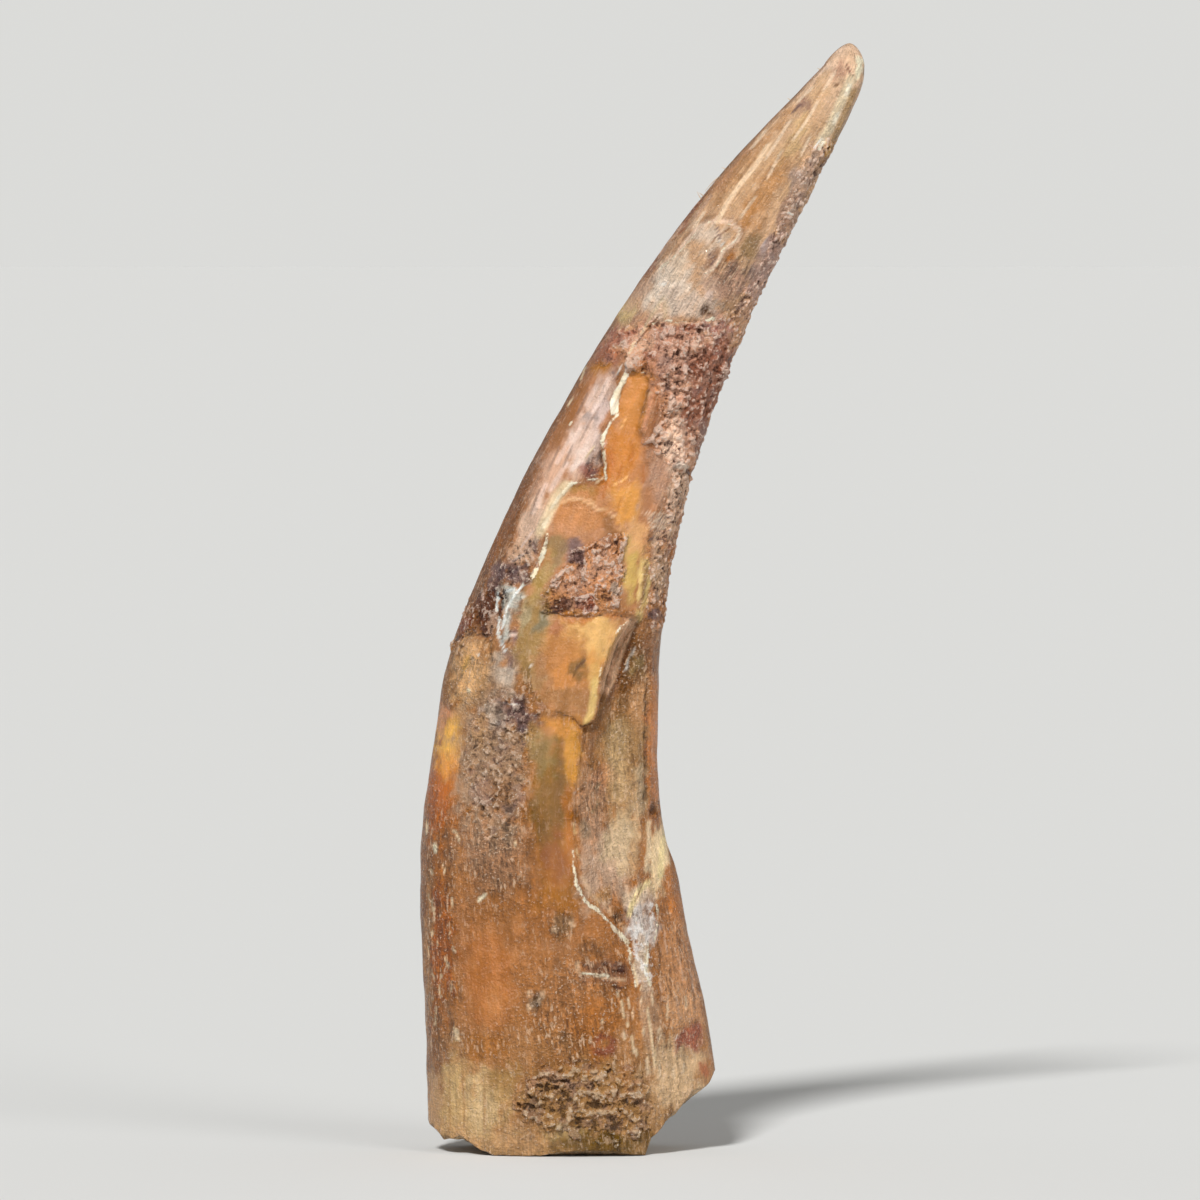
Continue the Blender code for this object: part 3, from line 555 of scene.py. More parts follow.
# Stains on the scarred face, each (x, height, half width, half height, lean to +X in degrees, strength,
# colour). A later one lies over those before it.
FRONT_STAINS = [
    # The root.
    (-3.1, 1.7, 1.7, 1.6, 0, 0.95, (0.76, 0.62, 0.43)), (-4.6, 1.5, 0.35, 1.5, 0, 0.8, TAN),
    (-3.8, 2.8, 0.35, 1.2, 0, 0.6, (0.82, 0.69, 0.48)), (-3.3, 0.6, 0.8, 0.4, 10, 0.7, TAN),
    (-2.8, 1.9, 0.7, 1.1, 0, 0.8, (0.80, 0.68, 0.51)), (-2.0, 2.7, 0.8, 0.7, -20, 0.7, (0.60, 0.47, 0.29)),
    (-1.5, 0.5, 1.3, 0.5, 0, 0.7, TAN), (0.9, 2.1, 2.4, 1.5, 0, 0.9, (0.68, 0.52, 0.35)),
    (1.6, 0.4, 2.2, 0.6, 0, 0.95, (0.44, 0.34, 0.20)), (4.3, 6.3, 0.8, 2.7, -8, 0.9, (0.80, 0.57, 0.39)),
    (4.3, 5.3, 0.8, 1.0, -8, 0.8, (0.88, 0.66, 0.48)), (0.3, 5.8, 1.6, 1.9, 0, 0.6, (0.74, 0.52, 0.35)),
    (0.2, 0.9, 0.8, 0.3, 0, 0.6, KHAKI), (3.4, 1.9, 0.35, 0.8, 0, 0.8, TAN),
    (4.2, 2.9, 1.1, 1.5, 0, 0.95, (0.85, 0.71, 0.55)), (4.6, 4.15, 0.58, 0.44, -15, 0.95, (0.68, 0.40, 0.31)),
    (5.2, 2.98, 0.26, 0.23, 0, 0.9, (0.67, 0.41, 0.28)), (3.2, 4.9, 0.45, 1.3, -10, 0.6, (0.76, 0.62, 0.50)),
    (1.3, 4.7, 1.0, 1.3, 0, 0.6, ORANGE), (1.6, 3.9, 0.6, 0.25, 5, 0.8, RED),
    (-2.5, 6.4, 1.0, 2.4, 0, 0.9, (0.66, 0.42, 0.24)), (-2.35, 5.4, 0.5, 0.8, 0, 0.8, (0.73, 0.49, 0.30)),
    (-2.6, 3.9, 1.0, 0.7, 0, 0.7, (0.68, 0.44, 0.22)), (-4.3, 7.6, 0.55, 3.0, 0, 0.9, (0.68, 0.39, 0.15)),
    (-4.75, 7.0, 0.15, 3.5, 0, 0.5, TAN), (-2.2, 8.7, 1.2, 0.8, 0, 0.7, (0.64, 0.43, 0.26)),
    (-0.85, 5.62, 0.32, 0.45, 0, 0.9, (0.53, 0.45, 0.37)), (-3.75, 4.4, 0.13, 0.08, 0, 0.8, CREAM),
    (-3.9, 4.5, 0.1, 0.25, 0, 0.7, DEEP_BROWN), (0.1, 8.3, 0.45, 0.35, 0, 0.45, GREEN_GREY),
    (0.6, 7.5, 1.1, 0.4, 0, 0.5, BROWN), (1.6, 6.6, 1.1, 0.5, 0, 0.8, (0.62, 0.44, 0.34)),
    (2.1, 6.75, 0.4, 0.22, 0, 0.8, (0.45, 0.33, 0.29)),
    # The lower body.
    (-4.25, 12.6, 0.75, 1.8, 0, 0.9, (0.72, 0.41, 0.15)), (-4.0, 14.8, 0.6, 1.1, 0, 1.0, (0.88, 0.66, 0.33)),
    (-3.8, 14.0, 0.55, 0.45, 0, 0.9, AMBER), (-4.25, 15.8, 0.2, 0.9, 10, 0.8, SALMON),
    (-3.6, 15.9, 0.4, 0.5, 0, 0.8, TAN), (-4.3, 14.75, 0.12, 0.25, 0, 0.7, RED),
    (-3.9, 11.2, 0.4, 0.9, 0, 0.7, BROWN), (-2.3, 11.2, 1.4, 1.9, 0, 0.85, (0.72, 0.54, 0.41)),
    (-2.3, 9.6, 0.9, 0.6, 0, 0.5, BROWN), (-0.3, 12.9, 0.8, 2.4, 0, 0.9, (0.49, 0.36, 0.16)),
    (-0.1, 10.5, 0.6, 1.4, 0, 0.9, (0.57, 0.36, 0.04)), (-0.6, 14.5, 0.5, 0.9, 0, 0.6, (0.56, 0.48, 0.33)),
    (-1.0, 14.9, 0.3, 0.9, 0, 0.5, KHAKI), (0.1, 15.4, 0.8, 0.5, 0, 0.9, (0.80, 0.55, 0.29)),
    (0.5, 14.4, 0.28, 1.3, 0, 0.9, (0.79, 0.56, 0.27)), (0.3, 11.8, 0.22, 1.6, 0, 0.7, (0.66, 0.41, 0.20)),
    (0.0, 9.3, 0.9, 0.7, 0, 0.6, (0.68, 0.45, 0.22)),
    # The slab and the stains beside it.
    (-3.3, 17.3, 0.9, 1.3, 0, 0.95, (0.93, 0.73, 0.52)), (-3.4, 17.7, 0.3, 0.3, 0, 0.7, YELLOW),
    (-4.05, 17.1, 0.22, 1.0, 5, 0.8, BROWN), (-2.0, 17.3, 0.5, 0.9, 10, 0.95, (0.78, 0.71, 0.64)),
    (-1.7, 18.0, 0.4, 0.4, 0, 0.8, PURPLE), (-1.0, 19.0, 0.8, 1.9, 8, 0.95, (0.60, 0.48, 0.31)),
    (-0.8, 17.3, 0.5, 0.7, 0, 0.7, (0.62, 0.49, 0.33)), (-0.75, 19.2, 0.35, 0.3, 0, 0.9, GREEN_GREY),
    (-0.6, 17.6, 0.3, 0.7, 0, 0.6, BROWN), (0.9, 18.3, 1.5, 1.1, 15, 1.0, (0.81, 0.58, 0.33)),
    (1.15, 18.65, 1.1, 0.8, 15, 0.85, (0.88, 0.70, 0.45)), (0.2, 17.9, 0.9, 1.1, 10, 0.9, (0.69, 0.47, 0.28)),
    (0.3, 17.3, 0.7, 0.6, 0, 0.7, (0.80, 0.53, 0.29)),
    (0.66, 17.45, 0.27, 0.42, 30, 0.85, (0.50, 0.38, 0.24)),
    (0.2, 16.4, 0.9, 0.45, 0, 0.85, (0.63, 0.45, 0.29)), (1.15, 17.3, 0.25, 0.5, 10, 0.8, (0.84, 0.66, 0.40)),
    (1.3, 19.4, 1.3, 0.15, 0, 0.7, ORANGE), (-0.1, 19.0, 0.3, 0.25, 0, 0.7, RUST),
    # The pebbled patch.
    (-2.45, 14.1, 1.45, 3.2, 0, 1.0, (0.68, 0.55, 0.44)), (-1.5, 15.9, 0.8, 0.65, 20, 0.95, PURPLE),
    # The white spot at (-1.75, 16.15) is a painted glint.
    (-2.3, 13.0, 0.8, 0.8, 0, 0.6, BROWN), (-1.75, 16.15, 0.18, 0.12, 20, 0.9, WHITE),
    (-2.4, 15.9, 0.4, 0.5, 0, 0.7, GREY), (-2.9, 15.3, 0.25, 0.6, 0, 0.6, TAN),
    # The scar.
    (2.2, 14.3, 1.1, 2.1, 3, 1.0, (0.67, 0.52, 0.36)), (2.7, 17.6, 0.8, 1.5, 14, 1.0, (0.54, 0.38, 0.25)),
    (2.9, 16.3, 0.4, 1.2, 5, 0.8, (0.74, 0.56, 0.40)), (1.1, 12.8, 0.6, 1.4, 0, 0.9, (0.79, 0.60, 0.46)),
    (1.2, 11.4, 0.6, 0.9, 0, 0.85, (0.78, 0.61, 0.49)), (0.9, 11.7, 0.2, 0.4, 0, 0.5, GREEN_GREY),
    # The cream stain at (2.25, 11.3) is a painted highlight in the scar's bowl.
    (1.8, 10.3, 1.1, 1.6, 10, 0.95, (0.78, 0.65, 0.55)), (2.25, 11.3, 0.75, 1.3, 5, 0.75, (0.90, 0.79, 0.63)),
    (2.6, 10.6, 0.3, 0.8, 10, 0.7, TAN), (1.5, 9.2, 0.5, 0.3, -40, 0.8, (0.72, 0.53, 0.34)),
    (2.05, 8.65, 0.25, 0.25, 0, 0.85, DEEP_BROWN), (2.8, 12.9, 0.35, 1.2, 0, 0.6, (0.78, 0.69, 0.56)),
    (2.3, 13.3, 0.4, 1.0, 0, 0.8, TAN), (1.5, 13.6, 0.5, 0.6, 0, 0.6, SALMON),
    (3.4, 14.5, 0.3, 3.0, 0, 0.9, (0.78, 0.51, 0.32)), (3.4, 12.3, 0.15, 0.3, 0, 0.9, DEEP_BROWN),
    (2.8, 17.6, 0.25, 0.5, 0, 0.6, KHAKI), (1.35, 13.3, 0.12, 0.12, 0, 0.8, GREEN_GREY),
    (2.8, 9.2, 0.45, 0.6, 30, 0.8, (0.91, 0.81, 0.69)), (2.95, 8.3, 0.62, 0.95, 0, 1.0, (0.86, 0.80, 0.76)),
    (2.95, 6.9, 0.35, 0.9, 0, 0.95, (0.82, 0.73, 0.64)), (3.6, 10.7, 0.34, 1.5, 5, 0.95, (0.97, 0.85, 0.67)),
    (4.0, 9.2, 0.3, 1.0, -10, 0.8, ORANGE),
    # The amber window and the veined crust.
    (2.6, 27.0, 0.7, 1.6, 8, 1.0, (0.75, 0.50, 0.27)), (2.2, 24.9, 0.9, 1.4, 8, 1.0, (0.76, 0.49, 0.25)),
    (2.4, 23.4, 0.7, 0.8, 0, 1.0, (0.83, 0.58, 0.31)), (0.7, 23.1, 1.3, 0.8, 0, 0.95, (0.74, 0.50, 0.31)),
    (0.9, 23.9, 0.6, 0.2, 0, 0.8, (0.60, 0.44, 0.22)), (3.6, 24.3, 0.5, 1.1, 8, 0.95, (0.80, 0.60, 0.46)),
    (2.8, 22.2, 0.6, 0.9, 0, 0.9, (0.84, 0.64, 0.44)), (1.7, 24.6, 0.4, 1.0, 10, 0.6, (0.72, 0.43, 0.20)),
    (2.6, 21.0, 0.3, 1.2, 5, 0.95, (0.78, 0.65, 0.38)), (3.0, 20.6, 0.2, 1.4, 5, 0.9, STRAW),
    (1.2, 20.9, 1.3, 1.2, 10, 0.95, (0.79, 0.57, 0.42)), (1.75, 22.6, 0.35, 0.35, 0, 0.9, BROWN),
    (-0.05, 21.8, 0.4, 0.5, 0, 0.85, (0.56, 0.46, 0.32)), (0.6, 21.6, 0.5, 0.3, 40, 0.9, PURPLE),
    (-0.7, 20.8, 0.35, 0.9, 25, 0.9, (0.64, 0.52, 0.31)), (0.0, 19.8, 0.6, 0.3, 0, 0.9, (0.42, 0.30, 0.26)),
    (2.1, 20.4, 0.2, 0.4, 10, 0.8, GREY), (0.9, 19.85, 0.4, 0.15, 0, 0.8, RED),
    (0.3, 22.5, 0.6, 0.5, 0, 0.8, (0.76, 0.54, 0.38)),
    # The enamel left of the window.
    # Painted shade: the dark brown stain along the left edge, where the enamel turns from the light.
    (-2.05, 22.4, 0.45, 2.2, 20, 0.9, (0.55, 0.35, 0.19)),
    # Painted sheen: the pale pinkish and lilac stains from here to the one at (-1.3, 21.7) lie where the
    # enamel's gloss shows.
    (-1.0, 22.7, 0.55, 1.6, 20, 0.9, (0.88, 0.74, 0.64)),
    (-0.25, 24.7, 0.5, 1.5, 25, 0.9, (0.80, 0.64, 0.54)), (0.8, 25.7, 0.45, 1.4, 20, 0.9, (0.83, 0.71, 0.64)),
    (1.5, 27.2, 0.42, 1.2, 20, 0.85, (0.82, 0.70, 0.63)),
    (1.45, 26.6, 0.35, 0.7, 15, 0.85, (0.82, 0.72, 0.68)),
    (0.95, 27.0, 0.35, 0.7, 20, 0.7, (0.86, 0.72, 0.64)),
    (1.32, 25.5, 0.32, 0.7, 10, 0.8, (0.82, 0.72, 0.67)),
    (1.05, 26.3, 0.28, 0.22, 0, 0.8, (0.62, 0.55, 0.52)), (0.7, 24.95, 0.3, 0.5, 20, 0.6, (0.93, 0.85, 0.80)),
    (1.05, 24.7, 0.4, 0.4, 0, 0.9, (0.58, 0.38, 0.33)), (0.6, 24.5, 0.3, 0.2, 0, 0.7, PINK),
    (0.3, 26.6, 0.35, 1.6, 25, 0.85, (0.60, 0.40, 0.25)), (-1.3, 21.7, 0.6, 0.6, 20, 0.9, (0.87, 0.71, 0.59)),
    (-1.7, 20.9, 0.6, 0.3, 15, 0.9, PURPLE), (-2.6, 19.7, 0.5, 1.0, 15, 0.95, (0.42, 0.28, 0.23)),
    (-2.3, 20.8, 0.3, 0.6, 20, 0.8, PURPLE), (-3.4, 18.95, 0.3, 0.4, 20, 0.8, RED),
    (-2.45, 19.1, 0.15, 0.4, 0, 0.7, PINK), (-1.75, 20.0, 0.42, 0.45, -30, 0.9, (0.82, 0.81, 0.76)),
    (-1.98, 19.2, 0.22, 0.7, 0, 0.9, (0.79, 0.79, 0.75)), (-1.4, 19.4, 0.3, 0.6, 10, 0.6, (0.68, 0.63, 0.50)),
    (-1.7, 18.7, 0.2, 0.3, 0, 0.7, PURPLE), (-0.8, 22.1, 0.2, 0.25, 0, 0.8, GREY),
    # The rusty crust.
    (4.7, 26.8, 1.25, 4.2, 18, 0.95, (0.74, 0.57, 0.47)), (4.2, 29.0, 2.2, 1.1, 15, 0.85, (0.72, 0.53, 0.45)),
    (1.6, 28.8, 0.6, 0.5, 20, 0.9, (0.66, 0.44, 0.35)), (1.5, 28.25, 0.35, 0.3, 0, 0.9, (0.66, 0.44, 0.22)),
    (2.2, 29.4, 0.6, 0.35, 20, 0.9, (0.68, 0.46, 0.38)), (2.9, 29.1, 0.4, 0.6, 30, 0.7, PINK),
    (3.3, 28.75, 0.3, 0.2, 0, 0.8, (0.62, 0.42, 0.34)), (2.9, 28.4, 0.3, 0.15, 0, 0.8, (0.68, 0.46, 0.32)),
    (4.1, 28.3, 0.6, 1.2, 10, 0.7, (0.76, 0.59, 0.50)), (4.85, 28.9, 0.3, 0.5, 10, 0.95, (0.84, 0.65, 0.54)),
    (4.2, 27.2, 0.4, 0.4, 0, 0.8, (0.83, 0.64, 0.54)), (3.4, 27.4, 0.2, 0.6, 10, 0.8, SALMON),
    (4.2, 25.6, 0.5, 1.5, 0, 0.95, (0.93, 0.78, 0.67)), (5.4, 27.6, 0.9, 2.4, 18, 0.9, (0.55, 0.36, 0.29)),
    # The near-white spot at (4.4, 24.7) is a painted glint.
    (5.2, 25.2, 0.35, 1.2, 15, 0.9, (0.53, 0.41, 0.37)), (4.4, 24.7, 0.25, 0.2, 0, 0.9, (0.88, 0.86, 0.80)),
    (4.3, 23.8, 0.5, 0.9, 10, 0.9, (0.80, 0.67, 0.57)), (4.3, 29.75, 0.8, 0.2, 0, 0.6, RED),
    (5.8, 29.75, 0.7, 0.2, 0, 0.7, (0.62, 0.42, 0.39)), (6.2, 30.6, 0.4, 0.5, 20, 0.7, DULL_TAN),
    (3.55, 21.0, 0.35, 1.2, 5, 0.95, (0.70, 0.57, 0.46)), (3.4, 19.3, 0.25, 0.3, 0, 0.9, PURPLE),
    (3.8, 22.6, 0.6, 0.6, 10, 0.9, (0.79, 0.65, 0.54)), (3.2, 18.0, 0.25, 0.8, 0, 0.7, (0.62, 0.45, 0.34)),
    # The upper crown and tip.
    # The pale stain at (3.9, 31.2) is the crown's pale zone with a painted highlight on it.
    (3.9, 31.2, 0.9, 1.3, 28, 0.95, (0.94, 0.86, 0.78)), (4.7, 30.6, 1.0, 0.5, 10, 0.9, (0.86, 0.76, 0.68)),
    (2.4, 30.4, 0.4, 0.6, 30, 0.8, (0.78, 0.68, 0.48)), (4.3, 32.0, 0.4, 0.6, 30, 0.8, (0.86, 0.76, 0.66)),
    (2.8, 31.0, 0.3, 0.8, 35, 0.7, PINK), (5.35, 33.0, 0.75, 0.6, 20, 1.0, (0.86, 0.76, 0.67)),
    (5.95, 33.1, 0.3, 0.2, 0, 0.6, (0.72, 0.60, 0.49)), (5.5, 32.2, 0.35, 0.4, 20, 0.7, (0.62, 0.47, 0.38)),
    (6.2, 32.3, 0.2, 0.35, 0, 0.9, (0.68, 0.44, 0.24)), (6.9, 32.7, 0.35, 0.7, 30, 0.9, (0.61, 0.49, 0.35)),
    # The pale spot at (7.4, 32.6) is a painted glint.
    (7.4, 32.6, 0.2, 0.25, 0, 0.9, (0.85, 0.80, 0.80)), (5.6, 31.2, 0.6, 0.4, 20, 0.8, (0.79, 0.66, 0.58)),
    (6.2, 31.4, 0.7, 0.7, 20, 0.85, (0.74, 0.58, 0.49)),
    (5.25, 30.28, 0.25, 0.15, 20, 0.95, (0.45, 0.35, 0.29)), (5.8, 30.5, 0.35, 0.12, 20, 0.9, GREY),
    (5.3, 30.85, 0.15, 0.25, 0, 0.8, LILAC), (3.3, 32.2, 0.3, 0.9, 36, 0.8, RUST),
    (4.6, 33.9, 0.25, 1.2, 38, 0.8, RUST), (6.2, 35.4, 0.2, 1.6, 40, 0.7, (0.72, 0.51, 0.36)),
    (7.0, 36.0, 0.22, 2.6, 41, 0.8, (0.72, 0.54, 0.38)), (7.4, 34.7, 0.5, 1.6, 30, 0.8, (0.74, 0.54, 0.36)),
    (6.8, 33.7, 0.3, 0.7, 30, 0.6, (0.74, 0.52, 0.32)), (8.7, 37.0, 0.3, 0.6, 30, 0.8, (0.88, 0.73, 0.55)),
    (9.4, 38.3, 0.3, 0.7, 35, 0.7, (0.84, 0.68, 0.52)), (8.3, 36.4, 0.3, 0.8, 30, 0.6, PALE_TAN),
    (8.75, 37.6, 0.26, 0.34, 30, 0.75, (0.62, 0.47, 0.41)),
    (10.1, 39.1, 0.22, 0.4, 30, 0.7, (0.74, 0.56, 0.47)), (10.4, 39.1, 0.1, 0.08, 0, 0.8, RED),
    # The ivory stain at (10.82, 39.1) is a painted highlight on the tip's right side.
    (10.0, 38.55, 0.2, 0.08, 0, 0.8, DEEP_BROWN), (10.82, 39.1, 0.22, 0.55, 10, 1.0, IVORY),
    # The pale spots at (8.6, 35.1), (9.1, 35.8) and (6.97, 34.82) are painted glints.
    (8.6, 35.1, 0.26, 0.8, 25, 0.9, (0.84, 0.76, 0.71)), (9.1, 35.8, 0.15, 0.25, 20, 0.9, WHITE),
    (6.97, 34.82, 0.08, 0.07, 0, 1.0, WHITE), (8.3, 34.0, 0.35, 1.2, 25, 0.8, (0.60, 0.47, 0.40)),
    (7.4, 31.9, 0.6, 1.7, 25, 0.9, (0.66, 0.54, 0.49)), (8.9, 35.3, 0.5, 1.9, 27, 0.9, (0.68, 0.56, 0.48)),
    (9.6, 36.0, 0.12, 0.5, 27, 0.8, (0.56, 0.40, 0.24)),
]

